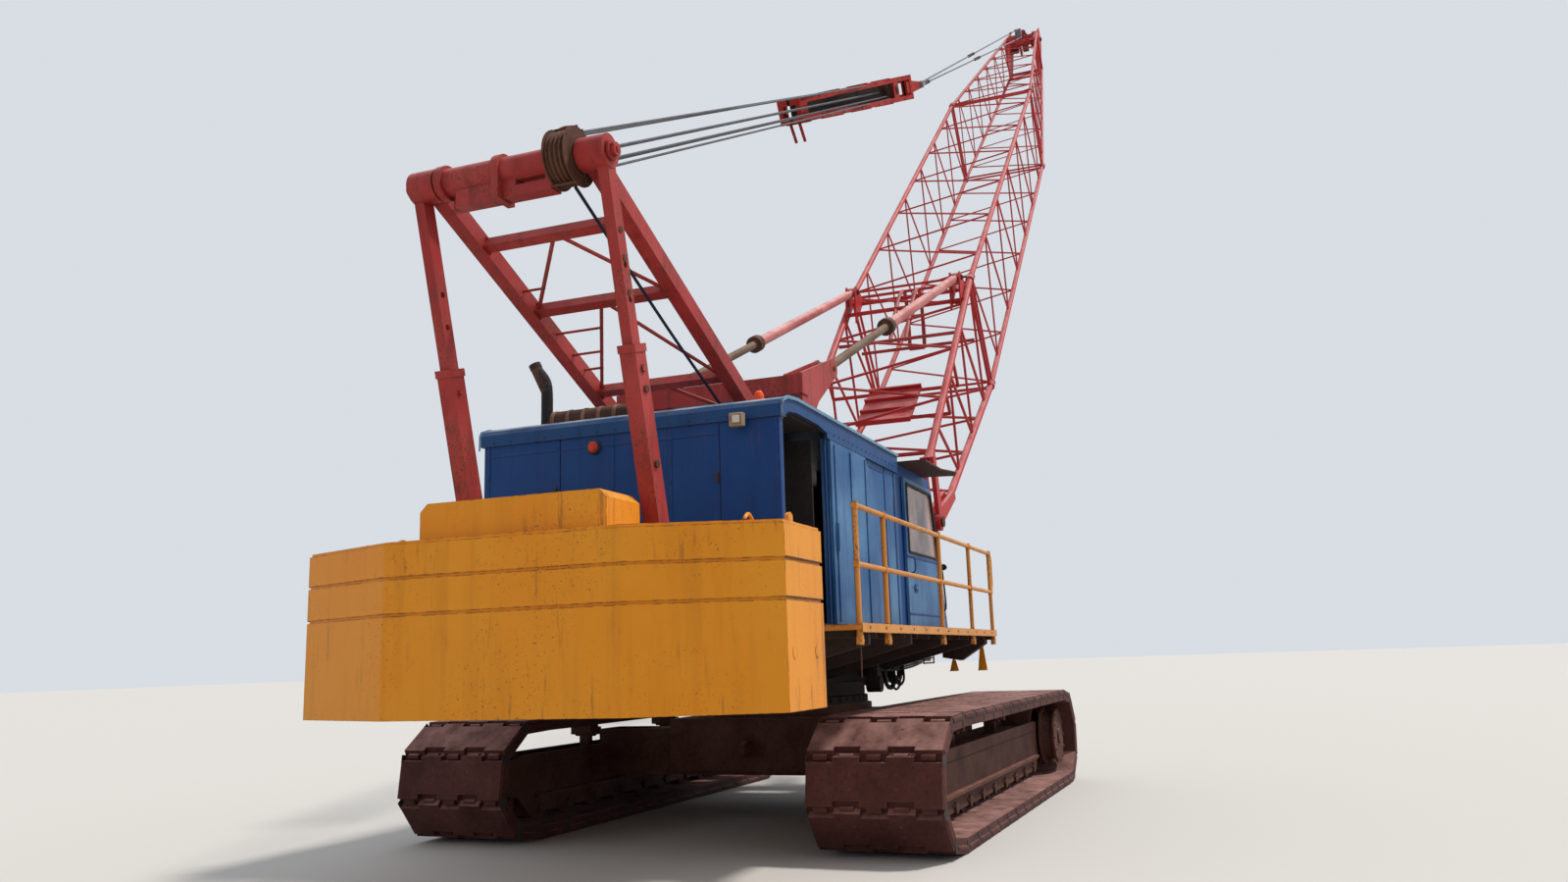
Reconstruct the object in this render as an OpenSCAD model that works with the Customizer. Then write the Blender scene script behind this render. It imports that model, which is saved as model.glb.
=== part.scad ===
// Lattice boom crawler crane, parked with its boom low.
// +X points forward, +Y to the crane's left, +Z up; the origin is on the ground
// under the swing axis. All sizes are millimetres, all angles degrees.

/* [Crawlers] */
// Overall length of a crawler
track_len = 6440; // [5600:20:7600]
// Overall height of a crawler
track_h = 1100; // [1040:10:1240]
// Width of the track shoes
shoe_w = 1120; // [760:20:1200]
// Distance between the centre lines of the two crawlers
track_gauge = 4040; // [3900:20:4600]
// Number of shoes in one crawler
shoe_count = 36; // [32:1:40]
// Thickness of a shoe from its pin line outwards
shoe_t = 80; // [60:5:100]
// Turn of the undercarriage under the parked upper works
under_turn = -1.8; // [-5:0.1:5]

/* [Undercarriage] */
// Length of the centre box along the crane
carbody_len = 2100; // [1800:50:2400]
// Radius of the swing bearing
swing_r = 880; // [760:10:960]
// Height of the swing plane above the ground
swing_z = 1180; // [1160:5:1300]

/* [Upper frame] */
// Height of the deck above the ground
deck_z = 1820; // [1780:10:1900]
// Half of the distance between the outer faces of the machinery house
house_half = 1400; // [1300:20:1500]
// Width of a side walkway
walk_w = 590; // [450:10:700]
// Height of the handrail above the walkway
rail_h = 926; // [800:10:1100]

/* [Machinery house] */
// Rear face of the house
house_rear = -3680; // [-3900:20:-3600]
// Front face of the house beside the cab
house_front = 1000; // [800:20:1200]
// Top of the roof above the ground
roof_z = 3700; // [3600:10:3800]
// Thickness of the walls
wall_t = 40; // [25:5:60]

/* [Counterweight] */
// Half of the width of the counterweight
cw_half = 1963; // [1800:20:2100]
// Underside above the ground
cw_z0 = 1240; // [1150:10:1400]
// Height of the lower, the middle and the upper slab
cw_tiers = [738, 259, 248];

/* [Gantry] */
// Peak of the gantry along the crane
peak_x = -5400; // [-5600:20:-5200]
// Peak of the gantry above the ground
peak_z = 5170; // [5000:10:5600]
// Half of the distance between the centre lines of the rear legs
gantry_half = 787; // [780:1:800]

/* [Boom] */
// Angle of the parked boom above level
boom_angle = 39.4; // [35:0.1:50]
// Foot pins, along the crane and above the ground
foot = [3200, 3335];
// Half of the width between chord centre lines
boom_half = 1040; // [900:10:1100]
// Length from the foot pins to the head axle
boom_len = 28110; // [26000:10:30000]
// Radius of a chord tube
chord_r = 48; // [44:2:60]
// Radius of a lacing tube
lace_r = 18; // [14:1:26]

/* [Boom stays] */
// Angle above level of the ropes between the gantry peak and the floating frame
stay_angle = 27.85; // [26:0.05:29]
// Distance from the gantry peak to the rear end of the floating frame
bridle_from = 6950; // [6600:50:7200]
// Length of the floating frame
bridle_len = 7050; // [6500:50:7300]

/* [Hidden] */
$fn = 48;

run = 0.05;      // radial clearance of a turning pin
seat = 0.3;      // gap of a piece at rest on its seat

red = "indianred";
blue = "steelblue";
ochre = "goldenrod";
iron = "saddlebrown";
dark = "dimgray";

// Shared helpers

// A straight tube with a given number of sides between two points
module bar(a, b, r, sides = 6, roll = 0) {
    v = b - a;
    length = norm(v);
    translate(a) rotate([0, acos(v.z / length), atan2(v.y, v.x)])
        rotate(roll) cylinder(h = length, r = r, $fn = sides);
}

// A block from its low corner to its high corner
module block(low, high) {
    translate(low) cube(high - low);
}

// An outline in the X-Z plane, extruded across from y0 to y1
module side_plate(outline, y0, y1) {
    translate([0, y1, 0]) rotate([90, 0, 0]) linear_extrude(y1 - y0) polygon(outline);
}

// A round disc or pin that lies across the crane
module across(x, z, r, y0, y1) {
    translate([x, y0, z]) rotate([-90, 0, 0]) cylinder(h = y1 - y0, r = r);
}

// The same piece on the right and, mirrored, on the left
module both_sides() {
    children();
    mirror([0, 1, 0]) children();
}

// Crawlers

loop_r = track_h / 2 - shoe_t;               // radius of the pin line
axle_x = track_len / 2 - track_h / 2 + 20;   // track wheel axles
axle_z = track_h / 2;
loop_len = 4 * axle_x + 2 * PI * loop_r;
pitch = loop_len / shoe_count;
shoe_in = 40;                                // thickness of a shoe inwards of its pin line
wheel_w = 300;
half_shoe = 90 * pitch / (PI * loop_r);      // half of the angle of a shoe on the wheel
wheel_r = loop_r * cos(half_shoe) - shoe_in - seat;
rail_t = 45;                                 // side plates of a track frame
frame_half = wheel_w / 2 + 20 + rail_t;
roller_r = 105;
roller_count = 9;

// Point of the pin line at a distance t from the middle of the lower run
function loop_point(t) =
    let (u = t < 0 ? t + loop_len : t > loop_len ? t - loop_len : t, half = PI * loop_r)
    u < axle_x ? [u, axle_z - loop_r]
    : u < axle_x + half ? let (a = (u - axle_x) / loop_r * 180 / PI - 90)
        [axle_x + loop_r * cos(a), axle_z + loop_r * sin(a)]
    : u < 3 * axle_x + half ? [axle_x - (u - axle_x - half), axle_z + loop_r]
    : u < 3 * axle_x + 2 * half ? let (a = (u - 3 * axle_x - half) / loop_r * 180 / PI + 90)
        [-axle_x + loop_r * cos(a), axle_z + loop_r * sin(a)]
    : [u - loop_len, axle_z - loop_r];

// Ends of the pin line of shoe i, its direction and the way out of the loop
shoe_shift = 0.66;                           // share of a shoe between the middle and the first pin
function pin(i) = loop_point((i - shoe_shift) * pitch);
function along(i) = (pin(i + 1) - pin(i)) / norm(pin(i + 1) - pin(i));
function out(i) = [along(i).y, -along(i).x];

// One slice of the loop; shift moves its hinge gaps, so that neighbouring slices interlock
module track_slice(shift, y0, y1) {
    gap = 9;
    outer = [for (i = [0:shoe_count - 1]) each [
        pin(i) + along(i) * (shift + gap) + out(i) * 24,
        pin(i) + along(i) * (shift + gap + 10) + out(i) * shoe_t,
        pin(i + 1) + along(i) * (shift - gap - 10) + out(i) * shoe_t,
        pin(i + 1) + along(i) * (shift - gap) + out(i) * 24]];
    inner = [for (i = [0:shoe_count - 1]) let (v = out(i) + out(i - 1))
        if (norm(out(i) - out(i - 1)) > 0.001) pin(i) - v * 2 * shoe_in / (v * v)];
    translate([0, y1, 0]) rotate([90, 0, 0]) linear_extrude(y1 - y0) difference() {
        polygon(outer);
        polygon(inner);
    }
}

module track(side) {
    slices = 5;
    w = shoe_w / slices;
    color(iron) rotate(under_turn) translate([0, side * track_gauge / 2, 0])
        for (k = [0:slices - 1])
            track_slice(k % 2 == 0 ? 22 : -22, -shoe_w / 2 + k * w, -shoe_w / 2 + (k + 1) * w);
}

// Side outline of a track frame, tapered towards its wheel axles
frame_outline = [
    [-axle_x - 170, axle_z - 130], [-axle_x + 250, axle_z - 190], [-axle_x + 420, 190],
    [axle_x - 420, 190], [axle_x - 250, axle_z - 190], [axle_x + 170, axle_z - 130],
    [axle_x + 170, axle_z + 130], [axle_x - 380, axle_z + 190], [-axle_x + 380, axle_z + 190],
    [-axle_x - 170, axle_z + 130]];

module track_frame(side) {
    color(iron) rotate(under_turn) translate([0, side * track_gauge / 2, 0]) {
        difference() {
            for (s = [-1, 1])
                side_plate(frame_outline, s * frame_half - (s > 0 ? rail_t : 0),
                           s * frame_half + (s > 0 ? 0 : rail_t));
            for (s = [-1, 1])
                across(s * axle_x, axle_z, 70 + seat, -frame_half - 1, frame_half + 1);
            for (k = [0:roller_count - 1])
                across(roller_x(k), roller_z, 40 + seat, -frame_half - 1, frame_half + 1);
        }
        block([-axle_x + 460, -frame_half + rail_t, 380], [axle_x - 460, frame_half - rail_t, 700]);
        for (s = [-1, 1])
            block([-axle_x + 520, s * (frame_half + 30) - 30, 335],
                  [axle_x - 520, s * (frame_half + 30) + 30, 365]);
    }
}

roller_z = axle_z - loop_r + shoe_in + seat + roller_r;
carrier_z = axle_z + loop_r - shoe_in - seat - 80;

// Place of lower roller k, counted from the rear
function roller_x(k) = (2 * k / (roller_count - 1) - 1) * (axle_x - 620);

module track_rollers() {
    color(dark) rotate(under_turn) for (side = [-1, 1]) translate([0, side * track_gauge / 2, 0]) {
        for (k = [0:roller_count - 1]) {
            across(roller_x(k), roller_z, roller_r, -wheel_w / 2, wheel_w / 2);
            across(roller_x(k), roller_z, 40, -frame_half, frame_half);
        }
        for (s = [-1, 1]) {
            across(s * 900, carrier_z, 80, -110, 110);
            block([s * 900 - 35, -frame_half + rail_t + seat, carrier_z - 60],
                  [s * 900 + 35, frame_half - rail_t - seat, carrier_z + 20]);
            block([s * 900 - 35, -60, 700 + seat], [s * 900 + 35, 60, carrier_z]);
        }
    }
}

module track_wheels() {
    teeth = 14;
    color(iron) rotate(under_turn) for (side = [-1, 1]) translate([0, side * track_gauge / 2, 0])
        for (s = [-1, 1]) translate([s * axle_x, 0, axle_z]) rotate([90, 0, 0]) {
            difference() {
                cylinder(h = wheel_w, r = wheel_r, center = true);
                if (s < 0)
                    for (k = [0:teeth - 1]) rotate((k + 0.5) * 360 / teeth) translate([wheel_r + 8, 0, 0])
                        cylinder(h = wheel_w + 2, r = 48, center = true);
                for (m = [-1, 1]) translate([0, 0, m * (wheel_w / 2)])
                    difference() {
                        cylinder(h = 120, r = wheel_r - 90, center = true);
                        cylinder(h = 130, r = 150, center = true);
                    }
            }
            cylinder(h = 2 * frame_half + 40, r = 70, center = true);
        }
}

// Undercarriage

carbody_in = track_gauge / 2 - frame_half;
kingpin_r = 120;
tow_r = 40;                                  // bore and thickness of the tow eyes
tow_t = 60;

module carbody() {
    tow_x = carbody_len / 2 + 110;
    color(iron) rotate(under_turn) difference() {
        union() {
            for (s = [-1, 1]) {
                block([s * (tow_x - 60) - 55, -tow_t / 2, 620], [s * (tow_x - 60) + 60, tow_t / 2, 780]);
                across(s * tow_x, 700, 80, -tow_t / 2, tow_t / 2);
            }
            for (s = [-1, 1])
                block([s * 760 - 210, -carbody_in, 430], [s * 760 + 210, carbody_in, 900]);
            block([-carbody_len / 2, -900, 480], [carbody_len / 2, 900, 1000]);
            translate([0, 0, 900]) cylinder(h = swing_z - 90 - 900, r = swing_r + 40);
        }
        translate([0, 0, 700]) cylinder(h = 600, r = kingpin_r + run);
        for (s = [-1, 1])
            across(s * tow_x, 700, tow_r, -tow_t, tow_t);
    }
}

module swing_ring() {
    teeth = 48;
    color(dark) rotate(under_turn) translate([0, 0, swing_z - 90 + seat]) difference() {
        cylinder(h = 80 - seat, r = swing_r);
        translate([0, 0, -1]) cylinder(h = 82, r = swing_r - 190);
        for (k = [0:teeth - 1]) rotate(k * 360 / teeth) translate([swing_r + 6, 0, 20])
            cylinder(h = 70, r = 30, $fn = 6);
    }
}

// Upper frame

girder_in = 460;
girder_out = 660;
frame_bottom = 1250;
girder_top = deck_z - 60;
frame_rear = -4845;
ear_y = [973, 1027];                         // faces of a boom foot ear
leg_foot = [-600, 2980];                     // foot pins of the gantry front legs
leg_y = [615, 735];                          // faces of a gantry front leg
rear_foot = [-4361, 1555];                   // foot pins of the gantry rear legs

module main_frame() {
    color(dark) {
        difference() {
            union() {
                both_sides() block([frame_rear, girder_in, frame_bottom], [2000, girder_out, girder_top]);
                for (x = [frame_rear, -3600, -2300, -1000, 850])
                    block([x, -girder_in, frame_bottom + 60], [x + 150, girder_in, girder_top - 40]);
                block([-1000, -girder_in, frame_bottom], [1000, girder_in, frame_bottom + 60]);
                translate([0, 0, swing_z]) cylinder(h = frame_bottom + 60 - swing_z, r = swing_r - 30);
                block([1980, -ear_y[1], 1500], [2400, ear_y[1], girder_top]);
                both_sides() {
                    side_plate([[1960, 1490], [2450, 1490], [2680, 1760], [foot.x + 87, foot.y - 49],
                                [foot.x - 87, foot.y + 49], [1960, 2000]], ear_y[0], ear_y[1]);
                    across(foot.x, foot.y, 120, ear_y[0] - 3, ear_y[1] + 3);
                    box_beam([2150, 1700], [2750, 2600], 60, ear_y[0] - 120, ear_y[0] + 5);
                }
                for (x = [-3300, -2000, -700, 600])
                    both_sides() side_cantilever(x);
            }
            across(foot.x, foot.y, foot_pin_r + run, -1500, 1500);
        }
        translate([0, 0, 760]) cylinder(h = frame_bottom - 760, r = kingpin_r);
    }
}

// A tapered arm under the deck, from a girder out to the walkway's edge
module side_cantilever(x) {
    translate([x + 60, 0, 0]) rotate([90, 0, -90]) linear_extrude(60)
        polygon([[-girder_out, girder_top], [-girder_out, girder_top - 420],
                 [-house_half - walk_w + 40, girder_top - 90], [-house_half - walk_w + 40, girder_top]]);
}

module deck() {
    color(dark) {
        block([house_rear - 20, -house_half - 20, girder_top], [1850, house_half + 20, deck_z]);
        both_sides() {
            difference() {
                block([-820, leg_y[0] - 32, deck_z], [-380, leg_y[1] + 32, leg_foot.y + 60]);
                block([-900, leg_y[0] - 10, leg_foot.y - 130], [-300, leg_y[1] + 10, leg_foot.y + 100]);
            }
            across(leg_foot.x, leg_foot.y, 50, leg_y[0] - 32, leg_y[1] + 32);
        }
    }
}

walk_in = house_half + 20 + seat;
walk_out = house_half + walk_w;
walk_x = [-3600, 1850];

module walkways() {
    color(ochre) both_sides() {
        block([walk_x[0], walk_in, deck_z - 40], [walk_x[1], walk_out, deck_z]);
        block([walk_x[0], walk_out, deck_z - 60], [walk_x[1], walk_out + 12, deck_z + 12]);
    }
}

post_x = [-3560, -2770, -780, 640, 1800];
rail_r = 22;
rail_y = walk_out - 26;
rail_mid = 466;

module handrails() {
    top_z = deck_z + rail_h;
    mid_z = deck_z + rail_mid;
    bend = 110;
    end_x = post_x[4] + 90;
    color(ochre) both_sides() {
        for (x = post_x)
            translate([x, rail_y, deck_z + seat]) cylinder(h = rail_h, r = rail_r);
        for (z = [top_z, mid_z])
            translate([post_x[0], rail_y, z]) rotate([0, 90, 0])
                cylinder(h = end_x - bend - post_x[0], r = rail_r);
        for (q = [[top_z - bend, 1], [mid_z + bend, -1]])
            translate([end_x - bend, rail_y, q[0]]) rotate([90, 0, 0]) intersection() {
                rotate_extrude() translate([bend, 0]) circle(r = rail_r);
                translate([0, q[1] > 0 ? 0 : -200, -50]) cube([200, 200, 100]);
            }
        translate([end_x, rail_y, mid_z + bend]) cylinder(h = top_z - mid_z - 2 * bend, r = rail_r);
    }
}

// Counterweight

// Plan of a slab: swept-back rear corners, and a recess for the frame and the gantry legs
cw_plan = [[-4400, -cw_half], [-4400, -1010], [frame_rear - seat, -1010], [frame_rear - seat, 1010],
           [-4400, 1010], [-4400, cw_half], [-5130, cw_half], [-5500, 950], [-5500, -950],
           [-5130, -cw_half]];

module slab(z0, z1, trim) {
    edge = 22;
    color(ochre) {
        translate([0, 0, z0]) linear_extrude(z1 - z0 - edge) polygon(cw_plan);
        translate([0, 0, z1 - edge]) linear_extrude(edge) offset(delta = -trim, chamfer = true)
            polygon(cw_plan);
    }
}

module counterweight_lower() slab(cw_z0, cw_z0 + cw_tiers[0], 14);

module counterweight_middle()
    slab(cw_z0 + cw_tiers[0] + seat, cw_z0 + cw_tiers[0] + cw_tiers[1], 14);

module counterweight_upper() {
    z0 = cw_z0 + cw_tiers[0] + cw_tiers[1];
    slab(z0 + seat, z0 + cw_tiers[2], 14);
    color(ochre) both_sides() side_plate([[-4700, z0 + 200], [-4600, z0 + 200], [-4610, z0 + 330],
        [-4650, z0 + 350], [-4690, z0 + 330]], cw_half - 160, cw_half - 130);
}

module counterweight_centre() {
    z0 = cw_z0 + cw_tiers[0] + cw_tiers[1] + cw_tiers[2];
    color(ochre) translate([-5350, 0, z0 + seat]) rotate([90, 0, 90]) linear_extrude(480)
        polygon([[-765, 0], [765, 0], [765, 215], [705, 275], [-705, 275], [-765, 215]]);
}

// Machinery house

wall_top = roof_z - 200;
door_x = [-3600, -2560];

module house_rear_wall() {
    color(blue) difference() {
        block([house_rear, -house_half, deck_z + seat], [house_rear + wall_t, house_half, wall_top]);
        for (y = [620, -880])
            block([house_rear - 1, y, deck_z + 300], [house_rear + 8, y + 12, wall_top + 1]);
    }
}

module house_side_walls() {
    x0 = house_rear + wall_t + seat;
    color(blue) {
        difference() {
            side_plate([[x0, deck_z + seat], [cab_x[0] - seat, deck_z + seat], [cab_x[0] - seat, wall_top],
                        [x0, wall_top]], -house_half, -house_half + wall_t);
            side_plate([[door_x[0], deck_z + 30], [door_x[1], deck_z + 30], [door_x[1], wall_top + 1],
                        [door_x[0], wall_top + 1]], -house_half - 1, -house_half + wall_t + 1);
        }
        difference() {
            side_plate([[x0, deck_z + seat], [house_front, deck_z + seat], [house_front, wall_top],
                        [x0, wall_top]], house_half - wall_t, house_half);
            for (k = [0:5])
                side_plate([[-3200, 2900 + k * 80], [-2300, 2900 + k * 80], [-2300, 2940 + k * 80],
                            [-3200, 2940 + k * 80]], house_half - 20, house_half + 1);
        }
    }
}

module house_front_wall() {
    color(blue) difference() {
        block([house_front - wall_t, cab_y[1] + seat, deck_z + seat],
              [house_front, house_half - wall_t - seat, wall_top]);
        block([house_front - wall_t - 1, -300, 2750], [house_front + 1, 1050, 3420]);
    }
}

// Roof outline from the side, with a rounded rear edge
roof_side = [[house_rear - 20, wall_top + seat], [house_rear - 20, roof_z - 100], [house_rear, roof_z - 60],
             [house_rear + 110, roof_z - 20], [house_rear + 330, roof_z], [house_front + 30, roof_z],
             [house_front + 30, wall_top + seat]];

module house_roof() {
    color(blue) difference() {
        side_plate(roof_side, -house_half - 30, house_half + 30);
        block([house_rear + 20, -house_half + 10, wall_top - 1],
              [house_front - 10, house_half - 10, roof_z - 110]);
        side_plate([[door_x[0], wall_top - 1], [door_x[1], wall_top - 1], [door_x[1], roof_z - 155],
                    [door_x[1] - 250, roof_z - 122], [door_x[0] + 260, roof_z - 118],
                    [door_x[0] + 70, roof_z - 140], [door_x[0], roof_z - 175]],
                   -house_half - 31, -house_half + 11);
        block([cab_x[0] - seat, -house_half - 40, wall_top - 1],
              [house_front + 40, cab_y[1] + seat, roof_z + 10]);
        both_sides() block([-2500, leg_y[0] - 15, wall_top - 1], [-1450, leg_y[1] + 15, roof_z + 10]);
        both_sides() block([-2000, post_y[0] - 15, wall_top - 1], [-1800, post_y[1] + 15, roof_z + 10]);
        block([-3200, -520, wall_top - 1], [-2500, -300, roof_z + 10]);
        translate([-3100, 1130, wall_top - 1]) cylinder(h = 300, r = 50 + seat);
    }
}

door_gap = 8;
door_foot = 40;                              // underside of the doors above the deck

module house_door() {
    y1 = -house_half - door_gap;
    color(blue) {
        block([door_x[1] + 50, y1 - 30, deck_z + door_foot], [door_x[1] + 1130, y1, wall_top - 10]);
        for (x = [90, 560, 1030])
            block([door_x[1] + 50 + x, y1 - 42, deck_z + 60], [door_x[1] + 70 + x, y1 - 30, wall_top - 40]);
        block([door_x[1] + 120, y1 - 60, 2500], [door_x[1] + 150, y1 - 30, 2750]);
    }
}

module engine() {
    color(dark) {
        block([-3300, -350, deck_z + seat], [-2150, 620, 2850]);
        block([-3200, -150, 2850], [-2300, 420, 3080]);
    }
}

muffler_r = 80;

module muffler() {
    x = -3100;
    z = roof_z + muffler_r + 10;
    color(iron) {
        across(x, z, muffler_r, 180, 1060);
        across(x, z, 45, 1060, 1130);
        for (y = [300, 900])
            block([x - 60, y, roof_z + seat], [x + 60, y + 30, z]);
        translate([x, 1130, 3300]) cylinder(h = 820, r = 45);
        bar([x, 1130, 4100], [x - 30, 1230, 4330], 55, 12);
    }
}

drum_at = [250, 2380];
drum_y = [-340, 560];

module winch_drum() {
    color(dark) difference() {
        union() {
            across(drum_at.x, drum_at.y, 210, drum_y[0], drum_y[1]);
            across(drum_at.x, drum_at.y, 330, drum_y[0], drum_y[0] + 30);
            across(drum_at.x, drum_at.y, 330, drum_y[1] - 30, drum_y[1]);
        }
        across(drum_at.x, drum_at.y, 60 + run, drum_y[0] - 1, drum_y[1] + 1);
    }
}

module winch_stand() {
    t = 40;
    axle = 60;
    color(dark) {
        for (y = [drum_y[0] - 20 - t, drum_y[1] + 20])
            side_plate([[drum_at.x - 330, deck_z + seat], [drum_at.x + 330, deck_z + seat],
                        [drum_at.x + 120, drum_at.y + 60], [drum_at.x + 60, drum_at.y + 120],
                        [drum_at.x - 60, drum_at.y + 120], [drum_at.x - 120, drum_at.y + 60]], y, y + t);
        across(drum_at.x, drum_at.y, axle, drum_y[0] - 20 - t, drum_y[1] + 20 + t);
    }
}

// Rail on the right edge of the deck that both sliding doors stand on
module door_rail() {
    color(dark) block([door_x[0] - 20, -house_half - 20, deck_z + seat],
                      [1700, -house_half - seat, deck_z + door_foot - seat]);
}

// Cab

cab_x = [-200, 1810];
cab_y = [-house_half, -500];
cab_top = 3620;
cab_side = [[cab_x[0], deck_z + seat], [cab_x[1], deck_z + seat], [1250, cab_top], [cab_x[0], cab_top]];

// The cab's side outline, smaller by a wall
module cab_inner(t) {
    side_plate([[cab_x[0] + t, deck_z + seat + t], [cab_x[1] - 1.2 * t, deck_z + seat + t],
                [1250 - 0.9 * t, cab_top - t], [cab_x[0] + t, cab_top - t]],
               cab_y[0] + t, cab_y[1] - t);
}

// Side window and doorway outlines; the front edges follow the leaning windscreen
function front_x(z, back) = cab_x[1] - (cab_x[1] - 1250) * (z - deck_z) / (cab_top - deck_z) - back;

function cab_window(z0, z1, x0, back) =
    [[x0, z0], [front_x(z0, back), z0], [front_x(z1, back), z1], [x0, z1]];

module cab_shell() {
    color(blue) difference() {
        side_plate(cab_side, cab_y[0], cab_y[1]);
        cab_inner(wall_t);
        side_plate(cab_window(deck_z + 80, 3500, 60, 120), cab_y[0] - 1, cab_y[0] + wall_t + 1);
        side_plate(cab_window(2650, 3470, 120, 120), cab_y[1] - wall_t - 1, cab_y[1] + 1);
        block([1000, cab_y[0] + 90, 2350], [2000, cab_y[1] - 90, 3470]);
    }
}

module cab_glass() {
    color("lightblue") {
        side_plate(cab_window(2650 + seat, 3470 - seat, 120 + seat, 120 + seat),
                   cab_y[1] - 24, cab_y[1] - 16);
        side_plate([[front_x(2350 + seat, 12), 2350 + seat], [front_x(2350 + seat, 4), 2350 + seat],
                    [front_x(3470 - seat, 4), 3470 - seat], [front_x(3470 - seat, 12), 3470 - seat]],
                   cab_y[0] + 90 + seat, cab_y[1] - 90 - seat);
    }
}

module cab_door() {
    y1 = cab_y[0] - door_gap;
    color(blue) {
        difference() {
            side_plate(cab_window(deck_z + door_foot, wall_top - 10, -10, 60), y1 - 30, y1);
            side_plate(cab_window(2680, 3430, 70, 140), y1 - 31, y1 + 1);
        }
        block([200, y1 - 60, 2280], [330, y1 - 30, 2310]);
    }
}

module cab_door_glass() {
    y1 = cab_y[0] - door_gap;
    color("lightblue")
        side_plate(cab_window(2680 + seat, 3430 - seat, 70 + seat, 140 + seat), y1 - 20, y1 - 12);
}

module cab_seat() {
    color(dark) translate([0, 450 - house_half, 0]) {
        block([350, -200, deck_z + wall_t + 2 * seat], [800, 200, 2280]);
        block([300, -230, 2280], [820, 230, 2400]);
        block([230, -210, 2400], [340, 210, 3050]);
        for (side = [-1, 1])
            block([350, side * 280 - 30, 2280], [760, side * 280 + 30, 2520]);
        block([300, -310, 2240], [760, 310, 2280]);
    }
}

module visor() {
    color(iron) translate([0, 0, cab_top + seat]) linear_extrude(14)
        polygon([[-190, -1380], [-190, -1730], [550, -1730], [870, -1830], [1100, -1760], [1040, -1560],
                 [1000, -1390], [1250, -1370], [1250, -600], [cab_x[0] + 40, -600]]);
}

// Gantry

// A flat-sided box beam between two points of the X-Z plane
module box_beam(a, b, deep, y0, y1, past = 0) {
    v = b - a;
    translate([a.x, 0, a.y]) rotate([0, -atan2(v.y, v.x), 0])
        block([0, y0, -deep / 2], [norm(v) + past, y1, deep / 2]);
}

peak = [peak_x, peak_z];
beam_r = 105;
peak_pin_r = 60;
eye_r = 125;                                 // eyes of the legs around the peak pins
front_dir = (leg_foot - peak) / norm(leg_foot - peak);
rear_dir = (peak - rear_foot) / norm(peak - rear_foot);
rungs = [670, 1485, 2650];                   // distances of the rungs from the peak

module gantry_front() {
    deep = 140;
    in = leg_y[0] - 20;
    color(red) {
        difference() {
            both_sides() {
                box_beam(peak + front_dir * 40, leg_foot, deep, leg_y[0], leg_y[1], -70);
                across(peak.x, peak.y, eye_r, leg_y[0] - 4, leg_y[1] + 4);
                box_beam(leg_foot - front_dir * 100, leg_foot, 110, leg_y[0] + 8, leg_y[1] - 8);
                across(leg_foot.x, leg_foot.y, 90, leg_y[0] - 4, leg_y[1] + 4);
            }
            across(peak.x, peak.y, peak_pin_r + seat, -1000, 1000);
            across(leg_foot.x, leg_foot.y, 50 + seat, -1000, 1000);
        }
        for (d = rungs) {
            p = peak + front_dir * d;
            box_beam(p - front_dir * 45, p + front_dir * 45, 80, -leg_y[0] - 5, leg_y[0] + 5);
        }
        for (q = [[0, 1], [0, -1], [1, 1], [1, -1]]) {
            a = peak + front_dir * (rungs[q[0]] + 30);
            b = peak + front_dir * (rungs[q[0] + 1] - 30);
            bar([a.x, q[1] * 25, a.y], [b.x, q[1] * in, b.y], 18);
        }
        low = [peak + front_dir * (rungs[2] + 30), peak + front_dir * 3300];
        bar([low[0].x, -25, low[0].y], [low[1].x, -in - 30, low[1].y], 18);
        for (q = [[0, 1230], [1, 1800], [1, 2100], [1, 2320]]) {
            share = (q[1] - rungs[q[0]]) / (rungs[q[0] + 1] - rungs[q[0]]);
            p = peak + front_dir * q[1];
            bar([p.x, share * in, p.y], [p.x, leg_y[0] + 5, p.y], 12);
        }
    }
}

knee = 2380;                                 // length of the outer rear legs
outer_w = 128;
outer_deep = 165;
inner_w = 84;
inner_deep = 120;
lock_at = knee - 180;                        // lock pins of the telescoping legs
lock_r = 24;

module gantry_rear_outer() {
    top = rear_foot + rear_dir * knee;
    lock = rear_foot + rear_dir * lock_at;
    color(red) both_sides() {
        difference() {
            union() {
                box_beam(rear_foot, top, outer_deep, gantry_half - outer_w / 2, gantry_half + outer_w / 2);
                box_beam(top - rear_dir * 60, top, outer_deep + 16,
                         gantry_half - outer_w / 2 - 8, gantry_half + outer_w / 2 + 8);
                across(rear_foot.x, rear_foot.y, 105,
                       gantry_half - outer_w / 2 - 6, gantry_half + outer_w / 2 + 6);
            }
            box_beam(rear_foot + rear_dir * 1500, top, inner_deep + 2 * seat,
                     gantry_half - inner_w / 2 - seat, gantry_half + inner_w / 2 + seat, 1);
        }
        across(lock.x, lock.y, lock_r, gantry_half - outer_w / 2 - 18, gantry_half + outer_w / 2 + 18);
        across(rear_foot.x, rear_foot.y, 55, girder_out + seat, gantry_half);
    }
}

module gantry_rear_inner() {
    color(red) difference() {
        both_sides() {
            box_beam(rear_foot + rear_dir * 1510, peak - rear_dir * 40, inner_deep,
                     gantry_half - inner_w / 2, gantry_half + inner_w / 2);
            across(peak.x, peak.y, eye_r, gantry_half - inner_w / 2 - 5, gantry_half + inner_w / 2 + 5);
        }
        across(peak.x, peak.y, peak_pin_r + seat, -1000, 1000);
        for (d = [lock_at, 2700, 2950])
            across(rear_foot.x + rear_dir.x * d, rear_foot.y + rear_dir.y * d, lock_r + seat, -1000, 1000);
    }
}

sheave_y = [-570, -420];

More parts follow.
